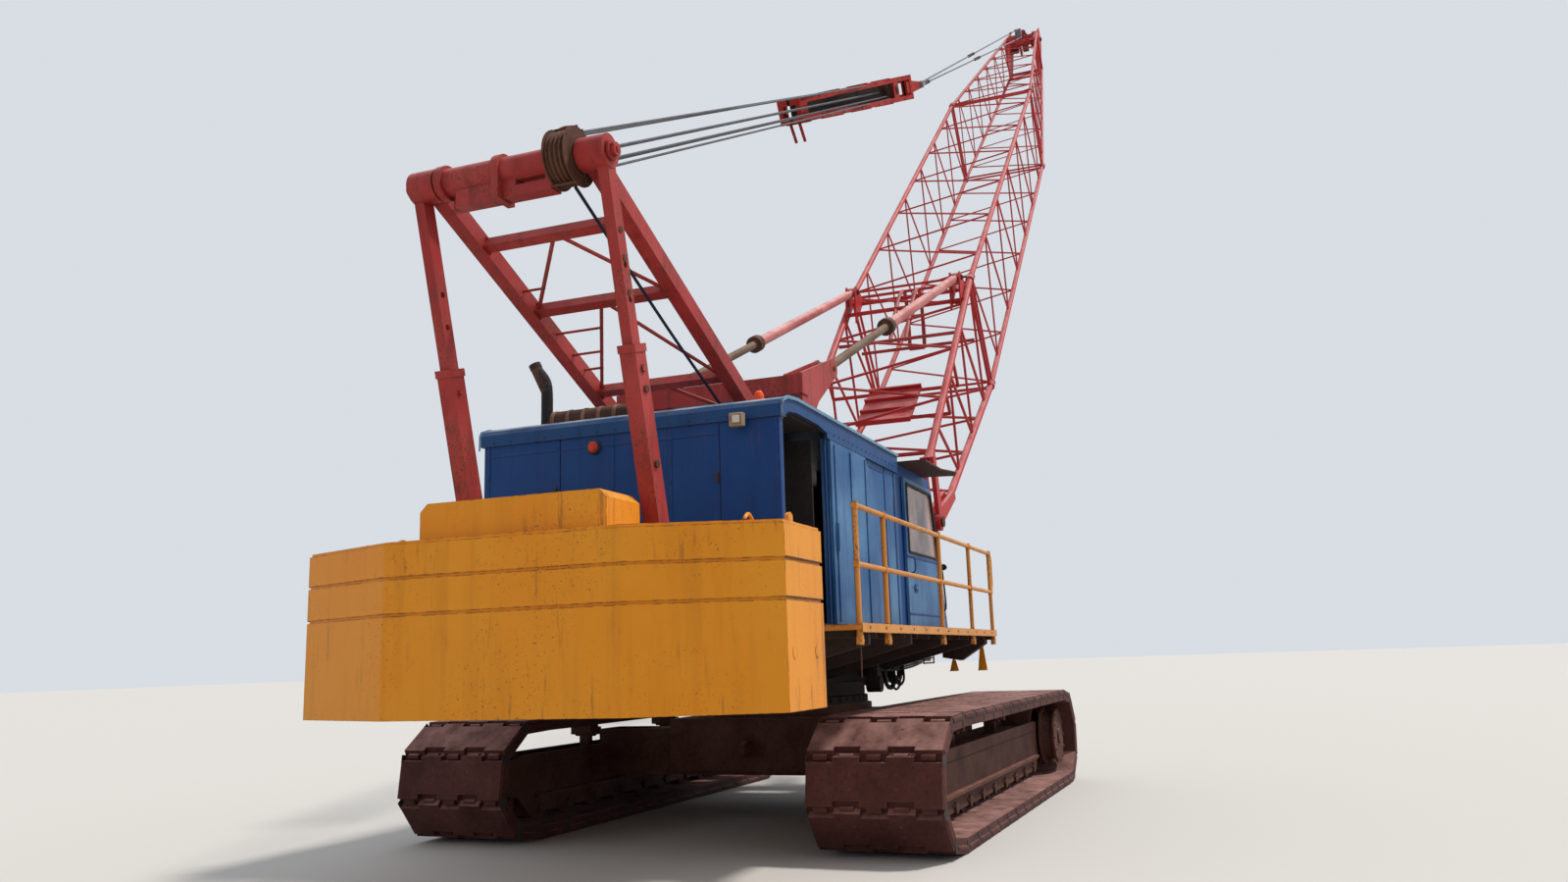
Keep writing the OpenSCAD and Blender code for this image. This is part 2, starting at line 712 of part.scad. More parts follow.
module peak_beam() {
    reach = gantry_half + inner_w / 2 + 26;
    low = peak.y - 225;
    color(red) {
        across(peak.x, peak.y, beam_r, -leg_y[0] + 12, leg_y[0] - 12);
        across(peak.x, peak.y, peak_pin_r, -reach, reach);
        for (y = [-reach - 8, reach - 14])
            across(peak.x, peak.y, peak_pin_r + 18, y, y + 22);
        across(peak.x, peak.y, beam_r + 28, 530, 590);
        across(peak.x, peak.y, 130, 28, 92);
        block([peak.x - 112, 30, low - 12], [peak.x + 112, 90, peak.y]);
        difference() {
            union() {
                block([peak.x - 50, -385, low], [peak.x + 50, 440, peak.y - 40]);
                block([peak.x + 40, -388, low + 5], [peak.x + 80, 520, peak.y + 138]);
            }
            block([peak.x - 60, -330, peak.y - 143], [peak.x + 90, -80, peak.y - 100]);
        }
    }
}

module peak_sheaves() {
    color(iron) translate([peak.x, sheave_y[0], peak.y]) rotate([-90, 0, 0]) difference() {
        n = 4;
        w = (sheave_y[1] - sheave_y[0]) / n;
        for (k = [0:n - 1]) translate([0, 0, k * w]) rotate_extrude()
            polygon([[100, 0], [200, 0], [200, 6], [180, w / 2], [200, w - 6], [200, w], [100, w]]);
        translate([0, 0, -1]) cylinder(h = 400, r = beam_r + run);
    }
}

module rope_guard() {
    t = 14;
    gap = 8;
    color(iron) difference() {
        union() {
            for (y = [sheave_y[0] - gap - t, sheave_y[1] + gap]) {
                across(peak.x, peak.y, 150, y, y + t);
                in_stay() side_plate([[0, -140], [260, -60], [260, 60], [0, 140]], y + 1, y + t - 1);
            }
            in_stay() block([225, sheave_y[0] - gap - t, -55], [255, sheave_y[1] + gap + t, -25]);
            in_stay() block([225, sheave_y[0] - gap - t, 25], [255, sheave_y[1] + gap + t, 55]);
        }
        across(peak.x, peak.y, beam_r + run, -1000, 0);
    }
}

// Backstops

stop_pin = [-950, 4550];                     // lower pins, on the stand
stop_y = 900;
stop_boom = [5010, 1530];                    // upper pins, along the boom and out of its back
stop_top = foot + [stop_boom.x * cos(boom_angle) - stop_boom.y * sin(boom_angle),
                   stop_boom.x * sin(boom_angle) + stop_boom.y * cos(boom_angle)];
stop_tube = 5000;
stop_rod_r = 50;
stop_rod = 4700;                             // length of a rod from its end inside the tube to its pin
eye_half = 60;
stand_x = -1900;
post_y = [440, 590];                         // faces of a stand post
stand_z = [4080, 4270];                      // lower and upper face of the stand's beam

module backstop_stand() {
    color(red) {
        block([stand_x - 90, -stop_y - 110, stand_z[0]], [stand_x + 90, stop_y + 110, stand_z[1]]);
        both_sides() {
            block([stand_x - 75, post_y[0], deck_z + seat], [stand_x + 75, post_y[1], stand_z[0] + 5]);
            for (y = [stop_y - eye_half - 10 - 25, stop_y + eye_half + 10]) {
                side_plate([[stand_x - 60, stand_z[0] - 70], [stand_x - 60, stand_z[1] + 20],
                            [stop_pin.x - 40, stop_pin.y + 98], [stop_pin.x + 75, stop_pin.y - 70],
                            [stand_x + 300, stand_z[0] - 70]], y, y + 25);
                across(stop_pin.x, stop_pin.y, 112, y - 3, y + 28);
            }
        }
    }
}

// Places its children with +X along a backstop, from the upper pin towards the lower one
module in_stop() {
    v = stop_pin - stop_top;
    translate([stop_top.x, 0, stop_top.y]) rotate([0, -atan2(v.y, v.x), 0]) children();
}

module backstop_tube(side) {
    neck = 320;
    color(red) in_stop() difference() {
        union() {
            across(0, 0, 85, side * stop_y - eye_half, side * stop_y + eye_half);
            translate([60, side * stop_y, 0]) rotate([0, 90, 0]) cylinder(h = neck - 50, r = 50);
            translate([neck, side * stop_y, 0]) rotate([0, 90, 0]) cylinder(h = stop_tube - neck, r = 70);
            translate([stop_tube - 120, side * stop_y, 0]) rotate([0, 90, 0]) cylinder(h = 120, r = 105);
        }
        across(0, 0, 40 + run, side * stop_y - 100, side * stop_y + 100);
        translate([neck + 40, side * stop_y, 0]) rotate([0, 90, 0])
            cylinder(h = stop_tube, r = stop_rod_r + run);
    }
}

module backstop_rod(side) {
    length = norm(stop_pin - stop_top);
    color(iron) in_stop() {
        translate([length - stop_rod, side * stop_y, 0]) rotate([0, 90, 0])
            cylinder(h = stop_rod - 60, r = stop_rod_r);
        across(length, 0, 85, side * stop_y - eye_half, side * stop_y + eye_half);
    }
}

// Boom

base_end = 5510;
insert_end = boom_len - 9800;
tip_end = boom_len - 1000;
n_rear = 1290;                               // chord centre lines behind and before the foot line
n_front = -760;
base_r = chord_r + 8;
tip_r = chord_r - 6;

// Places its children with +X along the boom and +Z out of its back
module in_boom() {
    translate([foot.x, 0, foot.y]) rotate([0, -boom_angle, 0]) children();
}

// Corner points of a cross-section, in turn around it: left rear, right rear, right front, left front
function corners(s, half, rear, front) =
    [[s, half, rear], [s, -half, rear], [s, -half, front], [s, half, front]];

sec_foot = corners(510, 1010, 770, -195);
sec_base = corners(base_end, boom_half, n_rear, n_front);
sec_mid = corners(insert_end, boom_half, n_rear, n_front);
sec_tip = corners(tip_end, 500, 1050, -110);

function between(a, b, t) = a * (1 - t) + b * t;

// Zigzag lacing on the four faces between two cross-sections; neighbours differ by 1 mm in
// radius, so that no edges or faces coincide where they meet
module lacing(a, b, panels, r) {
    steps = 2 * panels;
    for (f = [0:3]) for (k = [0:steps - 1]) {
        g = (f + 1) % 4;
        p = between(a[k % 2 == 0 ? f : g], b[k % 2 == 0 ? f : g], k / steps);
        q = between(a[k % 2 == 0 ? g : f], b[k % 2 == 0 ? g : f], (k + 1) / steps);
        bar(p, q, r - k % 2, roll = 15);
    }
}

module chords(a, b, r) {
    for (i = [0:3]) bar(a[i], b[i], r, 12);
}

// A square of cross tubes
module end_square(a, r) {
    for (i = [0:3]) bar(a[i], a[(i + 1) % 4], r);
}

// Thick connectors on the chord ends of a cross-section, from s0 to s1 along the boom
module connectors(a, s0, s1) {
    for (c = a) translate([s0, c.y, c.z]) rotate([0, 90, 0])
        cylinder(h = s1 - s0, r = base_r + 12, $fn = 12);
}

cheeks = [[905, 962], [1038, 1095]];         // faces of the foot plates, on both sides of an ear
foot_pin_r = 60;
connector = 75;

// Foot plate outline: one arm to the rear chord and one to the front chord
foot_arms = [[-58, 29], [328, 836], [472, 764], [190, 110], [1074, -177], [1046, -303], [-14, -63]];

module boom_base() {
    color(red) in_boom() {
        for (i = [0, 1]) {
            bar(between(sec_foot[i], sec_base[i], -0.03), between(sec_foot[i], sec_base[i], 0.995), base_r, 12);
            bar(between(sec_foot[i], sec_base[i], -0.032), between(sec_foot[i], sec_base[i], 0.004),
                base_r + 18, 12);
        }
        for (i = [2, 3])
            bar(between(sec_foot[i], sec_base[i], 0.1), between(sec_foot[i], sec_base[i], 0.995), base_r, 12);
        connectors(sec_base, base_end - connector, base_end);
        lacing(between(sec_foot, sec_base, 0.14), between(sec_foot, sec_base, 0.97), 3, lace_r + 5);
        end_square(between(sec_foot, sec_base, 0.975), lace_r + 10);
        bar(between(sec_foot[0], sec_base[0], 0.01), between(sec_foot[1], sec_base[1], 0.01), lace_r + 14);
        both_sides() {
            for (c = cheeks) {
                side_plate(foot_arms, c[0], c[1]);
                across(0, 0, 125, c[0] - 3, c[1] + 3);
            }
            across(0, 0, foot_pin_r, cheeks[0][0] - 15, cheeks[1][1] + 15);
            for (y = [stop_y - eye_half - 8 - 25, stop_y + eye_half + 8])
                side_plate([[stop_boom.x - 450, n_rear - 140], [stop_boom.x - 120, stop_boom.y + 60],
                            [stop_boom.x, stop_boom.y + 110], [stop_boom.x + 110, stop_boom.y],
                            [stop_boom.x + 250, n_rear - 40]], y, y + 25);
            across(stop_boom.x, stop_boom.y, 40, stop_y - 105, stop_y + 105);
            for (x = [2110, 3010])
                bar([x, 1020, 525], [x, 1022, 800 + (x - 510) / 10], 26);
        }
        for (x = [-300, 150])
            bar([stop_boom.x + x, -boom_half, n_rear - 40], [stop_boom.x + x, boom_half, n_rear - 40], 38);
        block([2010, -430, 520], [3110, 430, 540]);
        for (x = [2010, 2370, 2730, 3070])
            block([x, -430, 520], [x + 40, 430, 600]);
        for (x = [2110, 3010])
            bar([x, -1030, 530], [x, 1030, 530], 32);
    }
}

module boom_insert() {
    color(red) in_boom() {
        chords(between(sec_base, sec_mid, 0.002), between(sec_base, sec_mid, 0.998), chord_r);
        connectors(sec_base, base_end + seat, base_end + connector);
        connectors(sec_mid, insert_end - connector, insert_end - seat);
        lacing(between(sec_base, sec_mid, 0.009), between(sec_base, sec_mid, 0.991), 6, lace_r);
        for (t = [0.009, 0.991])
            end_square(between(sec_base, sec_mid, t), lace_r + 6);
    }
}

head_at = [boom_len, 670];
anchor_r = 32;                               // bore of the rope anchor below the head
stay_lug = [boom_len - 1000, 1190];          // pendant pin, along the boom and out of its back

module boom_tip() {
    plate = [450, 485];
    color(red) in_boom() {
        chords(between(sec_mid, sec_tip, 0.004), sec_tip, tip_r);
        connectors(sec_mid, insert_end, insert_end + connector);
        lacing(between(sec_mid, sec_tip, 0.02), between(sec_mid, sec_tip, 0.985), 6, lace_r - 2);
        end_square(between(sec_mid, sec_tip, 0.012), lace_r + 6);
        end_square(sec_tip, 52);
        both_sides() side_plate([[tip_end - 700, -140], [tip_end - 700, 1100], [tip_end, 1110],
            [head_at.x + 260, head_at.y + 330], [head_at.x + 330, head_at.y],
            [head_at.x + 230, head_at.y - 260], [tip_end, -170]], plate[0], plate[1]);
        for (s = [tip_end - 650, tip_end - 20])
            for (n = [-140, 1010])
                block([s, -plate[0] - 5, n], [s + 40, plate[0] + 5, n + 60]);
        for (y = [-125, 75])
            side_plate([[stay_lug.x - 320, 1020], [stay_lug.x - 40, stay_lug.y + 90],
                [stay_lug.x + 60, stay_lug.y + 80], [stay_lug.x + 105, stay_lug.y],
                [stay_lug.x + 60, 1020]], y, y + 50);
        across(stay_lug.x, stay_lug.y, 45, -140, 140);
        bar([stay_lug.x - 200, -490, 1040], [stay_lug.x - 200, 490, 1040], 52);
        across(head_at.x, head_at.y, 60, -plate[1] - 15, plate[1] + 15);
        difference() {
            side_plate([[head_at.x - 420, 350], [head_at.x - 420, 710], [head_at.x - 340, 710],
                        [head_at.x - 60, 420], [head_at.x - 60, 290], [head_at.x - 160, 250]], 126, 166);
            across(head_at.x - 150, 350, anchor_r, 100, 200);
        }
        for (y = [-240, 200]) side_plate([[head_at.x - 420, 490], [head_at.x - 420, 890],
            [head_at.x + 60, head_at.y + 80], [head_at.x + 60, head_at.y - 80]], y, y + 25);
        bar([head_at.x - 400, -plate[0] - 10, 690], [head_at.x - 400, plate[0] + 10, 690], 45);
    }
}

module head_sheaves() {
    color(iron) in_boom() translate([head_at.x, 0, head_at.y]) rotate([90, 0, 0])
        for (y = [-335, -15 + 20, 335]) translate([0, 0, -y]) difference() {
            rotate_extrude() polygon([[40, -80], [310, -80], [310, -70], [280, -40], [310, -10], [310, 10],
                                      [280, 40], [310, 70], [310, 80], [40, 80]]);
            cylinder(h = 400, r = 60 + run, center = true);
        }
}

// Boom stays

stay_pin = foot + [stay_lug.x * cos(boom_angle) - stay_lug.y * sin(boom_angle),
                   stay_lug.x * sin(boom_angle) + stay_lug.y * cos(boom_angle)];
bridle_half = 150;
bridle_deep = [310, 430];                    // depth of the floating frame at its rear and front end
lug_out = 1300;
lug_half = 50 - seat;                        // half of the thickness of the front lug
bridle_front = bridle_from + bridle_len;
bridle_axle = bridle_front - 1350;
pendant_from = peak + (bridle_front + lug_out) * [cos(stay_angle), sin(stay_angle)];
pendant_vec = stay_pin - pendant_from;

// Places its children with +X from the gantry peak along the ropes to the floating frame
module in_stay() {
    translate([peak.x, 0, peak.y]) rotate([0, -stay_angle, 0]) children();
}

// Places its children with +X from the floating frame's lug towards the boom head
module in_pendant() {
    translate([pendant_from.x, 0, pendant_from.y])
        rotate([0, -atan2(pendant_vec.y, pendant_vec.x), 0]) children();
}

// Half of the depth of the floating frame at a distance x from the peak
function bridle_z(x) =
    (bridle_deep[0] + (bridle_deep[1] - bridle_deep[0]) * (x - bridle_from) / bridle_len) / 2;

module bridle() {
    x0 = bridle_from;
    x1 = bridle_front;
    rim = 76;
    color(red) in_stay() difference() {
        union() {
            both_sides() difference() {
                side_plate([[x0, -bridle_z(x0)], [x1, -bridle_z(x1)], [x1, bridle_z(x1)], [x0, bridle_z(x0)]],
                           bridle_half - 25, bridle_half);
                for (w = [[x0 + 330, bridle_axle - 190], [bridle_axle + 190, x1 - 170]])
                    side_plate([[w[0], rim - bridle_z(w[0])], [w[1], rim - bridle_z(w[1])],
                                [w[1], bridle_z(w[1]) - rim], [w[0], bridle_z(w[0]) - rim]],
                               bridle_half - 26, bridle_half + 1);
            }
            side_plate([[x0 + 30, 30 - bridle_z(x0)], [bridle_axle - 240, 30 - bridle_z(bridle_axle)],
                        [bridle_axle - 240, bridle_z(bridle_axle) - 30], [x0 + 30, bridle_z(x0) - 30]], -6, 6);
            for (x = [x0, x1 - 35])
                block([x, -bridle_half + 5, -bridle_z(x) + 2], [x + 35, bridle_half - 5, bridle_z(x) - 2]);
            for (x = [x0 + 250, x0 + 1900, x0 + 3600, bridle_axle - 500])
                for (s = [-1, 1])
                    block([x, -bridle_half - 6, s * (bridle_z(x) - 5) - 16],
                          [x + 110, bridle_half + 6, s * (bridle_z(x) - 5) + 16]);
            side_plate([[x1 - 10, -130], [x1 + lug_out, -60], [x1 + lug_out + 60, 0], [x1 + lug_out, 60],
                        [x1 - 10, 130]], -lug_half, lug_half);
            for (s = [-1, 1])
                bar([x0 + 120, s * 60, -bridle_z(x0) + 20], [x0 + 230, s * 60, -bridle_z(x0) - 240], 20);
            block([x0 + 20, -100, -bridle_z(x0)], [x0 + 260, 100, -bridle_z(x0) + 30]);
            across(bridle_axle, 0, 50, -bridle_half, bridle_half);
        }
        block([x0 - 10, -95, -75], [x0 + 60, 95, 75]);
        for (y = [-115, 50])
            block([x1 - 60, y, -100], [x1 + 10, y + 65, 100]);
    }
}

module bridle_sheaves() {
    color(iron) in_stay() translate([bridle_axle, 0, 0]) rotate([90, 0, 0])
        difference() {
            for (k = [-1, 0, 1]) translate([0, 0, k * 74]) rotate_extrude()
                polygon([[40, -37], [190, -37], [190, -31], [168, 0], [190, 31], [190, 37], [40, 37]]);
            cylinder(h = 600, r = 50 + run, center = true);
        }
}

module pendants() {
    length = norm(pendant_vec);
    rope_r = 18;
    spread = 130;
    color(dark) in_pendant() difference() {
        union() {
            for (s = [-1, 1]) {
                a = [0, s * (lug_half + seat + 26), 0];
                b = [length - 420, s * 52, s * spread];
                bar(a, between(a, b, 0.015), 26, 12);
                bar(between(a, b, 0.012), between(a, b, 0.985), rope_r, 12);
                bar(between(a, b, 0.982), b, 30, 12);
                across(0, 0, 60, s * (lug_half + seat + 23) - 23, s * (lug_half + seat + 23) + 23);
                side_plate([[length - 460, -spread - 35], [length - 460, spread + 35], [length + 35, 60],
                            [length + 62, 0], [length + 35, -60]], s * 52 - 15, s * 52 + 15);
            }
            block([length - 460, -52, -spread - 20], [length - 430, 52, spread + 20]);
        }
        across(length, 0, 45 + run, -200, 200);
    }
}

carbody();
swing_ring();
track_frame(1);  // track_frame_left
track_frame(-1);  // track_frame_right
track(1);  // track_left
track(-1);  // track_right
track_wheels();
track_rollers();
main_frame();
deck();
walkways();
handrails();
counterweight_lower();
counterweight_middle();
counterweight_upper();
counterweight_centre();
house_rear_wall();
house_side_walls();
house_front_wall();
house_roof();
house_door();
engine();
muffler();
winch_stand();
winch_drum();
door_rail();
cab_shell();
cab_door();
cab_glass();
cab_door_glass();
cab_seat();
visor();
gantry_front();
gantry_rear_outer();
gantry_rear_inner();
peak_beam();
peak_sheaves();
rope_guard();
backstop_stand();
backstop_tube(1);  // backstop_tube_left
backstop_tube(-1);  // backstop_tube_right
backstop_rod(1);  // backstop_rod_left
backstop_rod(-1);  // backstop_rod_right
boom_base();
boom_insert();
boom_tip();
head_sheaves();
bridle();
bridle_sheaves();
pendants();
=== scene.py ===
"""Looks of the crawler crane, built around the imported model. Metres; X forward, Y left, Z up."""
import math
import random

import bmesh
import bpy
from mathutils import Matrix, Vector


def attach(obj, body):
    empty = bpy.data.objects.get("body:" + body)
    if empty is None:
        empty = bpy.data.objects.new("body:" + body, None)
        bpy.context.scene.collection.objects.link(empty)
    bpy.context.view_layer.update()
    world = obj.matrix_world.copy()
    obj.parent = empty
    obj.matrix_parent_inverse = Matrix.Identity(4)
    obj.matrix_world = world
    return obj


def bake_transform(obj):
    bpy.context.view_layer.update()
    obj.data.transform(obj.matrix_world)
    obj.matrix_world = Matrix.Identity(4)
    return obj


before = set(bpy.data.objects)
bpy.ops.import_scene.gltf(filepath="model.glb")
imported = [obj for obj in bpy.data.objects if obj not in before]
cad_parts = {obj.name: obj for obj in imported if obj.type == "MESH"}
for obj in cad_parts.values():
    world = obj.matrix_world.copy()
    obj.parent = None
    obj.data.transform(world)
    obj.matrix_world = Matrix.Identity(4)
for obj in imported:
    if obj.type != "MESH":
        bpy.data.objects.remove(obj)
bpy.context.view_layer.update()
rng = random.Random(7)

# The crane's own sizes and places
BOOM_ANGLE = math.radians(39.4)
BOOM_HALF = 1.04
BOOM_LEN = 28.11
FOOT = Vector((3.2, 0, 3.335))
PEAK = Vector((-5.4, 0, 5.17))
STAY_ANGLE = math.radians(27.85)
UNDER_TURN = math.radians(-1.8)
DECK_Z = 1.82
ROOF_Z = 3.7
EAVE_Z = 3.495
HOUSE_HALF = 1.4
HOUSE_REAR = -3.68
CW_HALF = 1.963
RAIL_Y = 1.964
POSTS = (-3.56, -2.77, -0.78, 0.64, 1.80)
WALK_Y = 1.70

# The two sides of the crane, and how deep a strip sits in the sheet under it
BOTH = (-1, 1)
SIDES = ((-1, "right"), (1, "left"))
SUNK = 0.002
UP = (0, 0, 1)
BACK = (-1, 0, 0)


def on_boom(s, y, n):
    """A point s along the boom and n out of its back."""
    c, d = math.cos(BOOM_ANGLE), math.sin(BOOM_ANGLE)
    return FOOT + Vector((s * c - n * d, y, s * d + n * c))


STAY_DIR = Vector((math.cos(STAY_ANGLE), 0, math.sin(STAY_ANGLE)))
STAY_UP = Vector((-STAY_DIR.z, 0, STAY_DIR.x))


def on_stay(x, y, z):
    """A point x along the stays from the gantry peak."""
    return PEAK + STAY_DIR * x + Vector((0, y, 0)) + STAY_UP * z


def turned(x, y, z):
    """A point of the undercarriage, which stands slightly turned under the upper works."""
    return Matrix.Rotation(UNDER_TURN, 3, "Z") @ Vector((x, y, z))


def round_points(count, r, start=0.0):
    """Offsets of points spread evenly round a circle."""
    angles = (start + 2 * math.pi * k / count for k in range(count))
    return [(r * math.cos(a), r * math.sin(a)) for a in angles]


# Camera at the photograph's viewing angle
YAW, PITCH, ROLL = (math.radians(a) for a in (20.584, 10.603, 1.872))
CAMERA_AT = (-12.222, -4.645, 1.581)
FOCAL_PIXELS = 1183.4
PHOTO_PIXELS = 1599
SENSOR = 36


def make_camera():
    """A camera where the photograph was taken from, with the same lens."""
    look = Vector((math.cos(YAW) * math.cos(PITCH), math.sin(YAW) * math.cos(PITCH), math.sin(PITCH)))
    side = Vector((math.sin(YAW), -math.cos(YAW), 0))
    up = side.cross(look)
    right = side * math.cos(ROLL) - up * math.sin(ROLL)
    top = side * math.sin(ROLL) + up * math.cos(ROLL)
    cam = bpy.data.cameras.new("photo_camera")
    cam.sensor_width = SENSOR
    cam.lens = SENSOR * FOCAL_PIXELS / PHOTO_PIXELS
    cam.clip_end = 300
    obj = bpy.data.objects.new("photo_camera", cam)
    bpy.context.scene.collection.objects.link(obj)
    turn = Matrix((right, top, -look)).transposed().to_4x4()
    obj.matrix_world = Matrix.Translation(CAMERA_AT) @ turn
    bpy.context.scene.camera = obj


# Node helpers for materials
class Nodes:
    """The nodes of a new material."""

    def __init__(self, name):
        self.mat = bpy.data.materials.new(name)
        self.mat.use_nodes = True
        self.tree = self.mat.node_tree
        self.bsdf = self.tree.nodes["Principled BSDF"]

    def add(self, kind, **values):
        node = self.tree.nodes.new(kind)
        for key, value in values.items():
            setattr(node, key, value)
        return node

    def link(self, a, b):
        self.tree.links.new(a, b)

    def shade(self, **values):
        """Sets the shader's own sockets, named with underscores for spaces."""
        for key, value in values.items():
            self.bsdf.inputs[key.replace("_", " ")].default_value = value

    def noise(self, scale, stretch=(1, 1, 1), detail=6, rough=0.6):
        coord = self.add("ShaderNodeTexCoord")
        mapping = self.add("ShaderNodeMapping")
        mapping.inputs["Scale"].default_value = stretch
        self.link(coord.outputs["Object"], mapping.inputs["Vector"])
        tex = self.add("ShaderNodeTexNoise")
        tex.inputs["Scale"].default_value = scale
        tex.inputs["Detail"].default_value = detail
        tex.inputs["Roughness"].default_value = rough
        self.link(mapping.outputs["Vector"], tex.inputs["Vector"])
        return tex.outputs["Fac"]

    def ramp(self, value, low, high):
        """0 below low, 1 above high."""
        node = self.add("ShaderNodeMapRange", clamp=True)
        node.inputs["From Min"].default_value = low
        node.inputs["From Max"].default_value = high
        self.link(value, node.inputs["Value"])
        return node.outputs["Result"]

    def spread(self, value, low, high):
        """A value from low to high for an input from 0 to 1."""
        node = self.add("ShaderNodeMapRange")
        node.inputs["To Min"].default_value = low
        node.inputs["To Max"].default_value = high
        self.link(value, node.inputs["Value"])
        return node.outputs["Result"]

    def math(self, kind, a, b):
        node = self.add("ShaderNodeMath", operation=kind, use_clamp=True)
        for socket, value in zip(node.inputs, (a, b)):
            if isinstance(value, (int, float)):
                socket.default_value = value
            else:
                self.link(value, socket)
        return node.outputs[0]

    def times(self, a, b):
        return self.math("MULTIPLY", a, b)

    def mix(self, fac, a, b):
        node = self.add("ShaderNodeMix", data_type="RGBA")
        for name, kind, value in (("Factor", "VALUE", fac), ("A", "RGBA", a), ("B", "RGBA", b)):
            socket = [s for s in node.inputs if s.name == name and s.type == kind][0]
            if isinstance(value, tuple):
                socket.default_value = (*value, 1)
            else:
                self.link(value, socket)
        return [s for s in node.outputs if s.type == "RGBA"][0]

    def up_facing(self):
        """1 on faces that look up, where dust lies."""
        geo = self.add("ShaderNodeNewGeometry")
        parts = self.add("ShaderNodeSeparateXYZ")
        self.link(geo.outputs["Normal"], parts.inputs["Vector"])
        return self.ramp(parts.outputs["Z"], 0.35, 0.9)

    def edges(self):
        """1 near sharp edges, from how far a rounded normal leaves the real one."""
        geo = self.add("ShaderNodeNewGeometry")
        soft = self.add("ShaderNodeBevel", samples=4)
        soft.inputs["Radius"].default_value = 0.012
        dot = self.add("ShaderNodeVectorMath", operation="DOT_PRODUCT")
        self.link(geo.outputs["True Normal"], dot.inputs[0])
        self.link(soft.outputs["Normal"], dot.inputs[1])
        return self.ramp(dot.outputs["Value"], 0.985, 0.90)

    def bump(self, height, strength, distance):
        node = self.add("ShaderNodeBump")
        node.inputs["Strength"].default_value = strength
        node.inputs["Distance"].default_value = distance
        self.link(height, node.inputs["Height"])
        self.link(node.outputs["Normal"], self.bsdf.inputs["Normal"])


def paint(name, base, faded, rust=(0.10, 0.035, 0.018), dust=(0.42, 0.33, 0.26), wear=0.5, rusty=0.7,
          dusty=0.5, rough=0.45, streak=0.35, fade=0.6):
    """Weathered paint: faded patches, vertical streaks, rust specks and worn edges, dust on top."""
    n = Nodes(name)
    patches = n.times(n.ramp(n.noise(0.9), 0.4, 0.72), fade)
    colour = n.mix(patches, base, faded)
    dark = tuple(c * 0.5 for c in base)
    streaks = n.ramp(n.noise(9, (1, 1, 0.07), 5), 0.50, 0.68)
    colour = n.mix(n.times(streaks, streak), colour, dark)
    fine = n.noise(55, detail=8, rough=0.7)
    where = n.ramp(n.noise(1.6), 0.44, 0.60)
    spots = n.times(n.ramp(fine, rusty - 0.06, rusty), where)
    runs = n.times(n.ramp(n.noise(14, (1, 1, 0.1), 6), 0.58, 0.70), 0.6)
    edge = n.times(n.edges(), n.ramp(n.noise(16), 0.46, 0.60))
    marks = n.math("MAXIMUM", n.math("MAXIMUM", spots, n.times(runs, where)), edge)
    colour = n.mix(n.times(marks, wear * 1.6), colour, rust)
    drifts = n.times(n.ramp(n.noise(3), 0.25, 0.75), dusty)
    colour = n.mix(n.times(n.up_facing(), drifts), colour, dust)
    n.link(colour, n.bsdf.inputs["Base Color"])
    n.link(n.spread(fine, rough - 0.1, rough + 0.25), n.bsdf.inputs["Roughness"])
    n.shade(Specular_IOR_Level=0.28)
    n.bump(n.noise(60, detail=4), 0.25, 0.002)
    return n.mat


def rusted(name, base, light, dust=(0.40, 0.27, 0.19), dusty=0.7, rough=0.8, scale=1.0, metal=0.0):
    """Bare rusty iron with pits, lighter scale and dry dust on its upper faces."""
    n = Nodes(name)
    colour = n.mix(n.ramp(n.noise(2.2 * scale), 0.3, 0.7), base, light)
    pits = n.ramp(n.noise(26 * scale, detail=8, rough=0.75), 0.5, 0.68)
    colour = n.mix(n.times(pits, 0.7), colour, tuple(c * 0.4 for c in base))
    drifts = n.times(n.ramp(n.noise(5 * scale), 0.25, 0.65), dusty)
    colour = n.mix(n.times(n.up_facing(), drifts), colour, dust)
    colour = n.mix(n.times(n.edges(), 0.45), colour, tuple(min(1, c * 1.7) for c in light))
    n.link(colour, n.bsdf.inputs["Base Color"])
    n.shade(Roughness=rough, Metallic=metal, Specular_IOR_Level=0.25)
    n.bump(n.noise(34 * scale, detail=8, rough=0.7), 0.5, 0.004)
    return n.mat


def dusty_glass(name, tint, dirt_colour, alpha):
    """Glass with patches of dry dirt, which let less light through."""
    n = Nodes(name)
    dirt = n.ramp(n.noise(2.5, (1, 1, 0.6)), 0.3, 0.75)
    n.link(n.mix(dirt, tint, dirt_colour), n.bsdf.inputs["Base Color"])
    n.shade(Roughness=0.12)
    n.link(n.spread(dirt, alpha, alpha + 0.3), n.bsdf.inputs["Alpha"])
    return n.mat


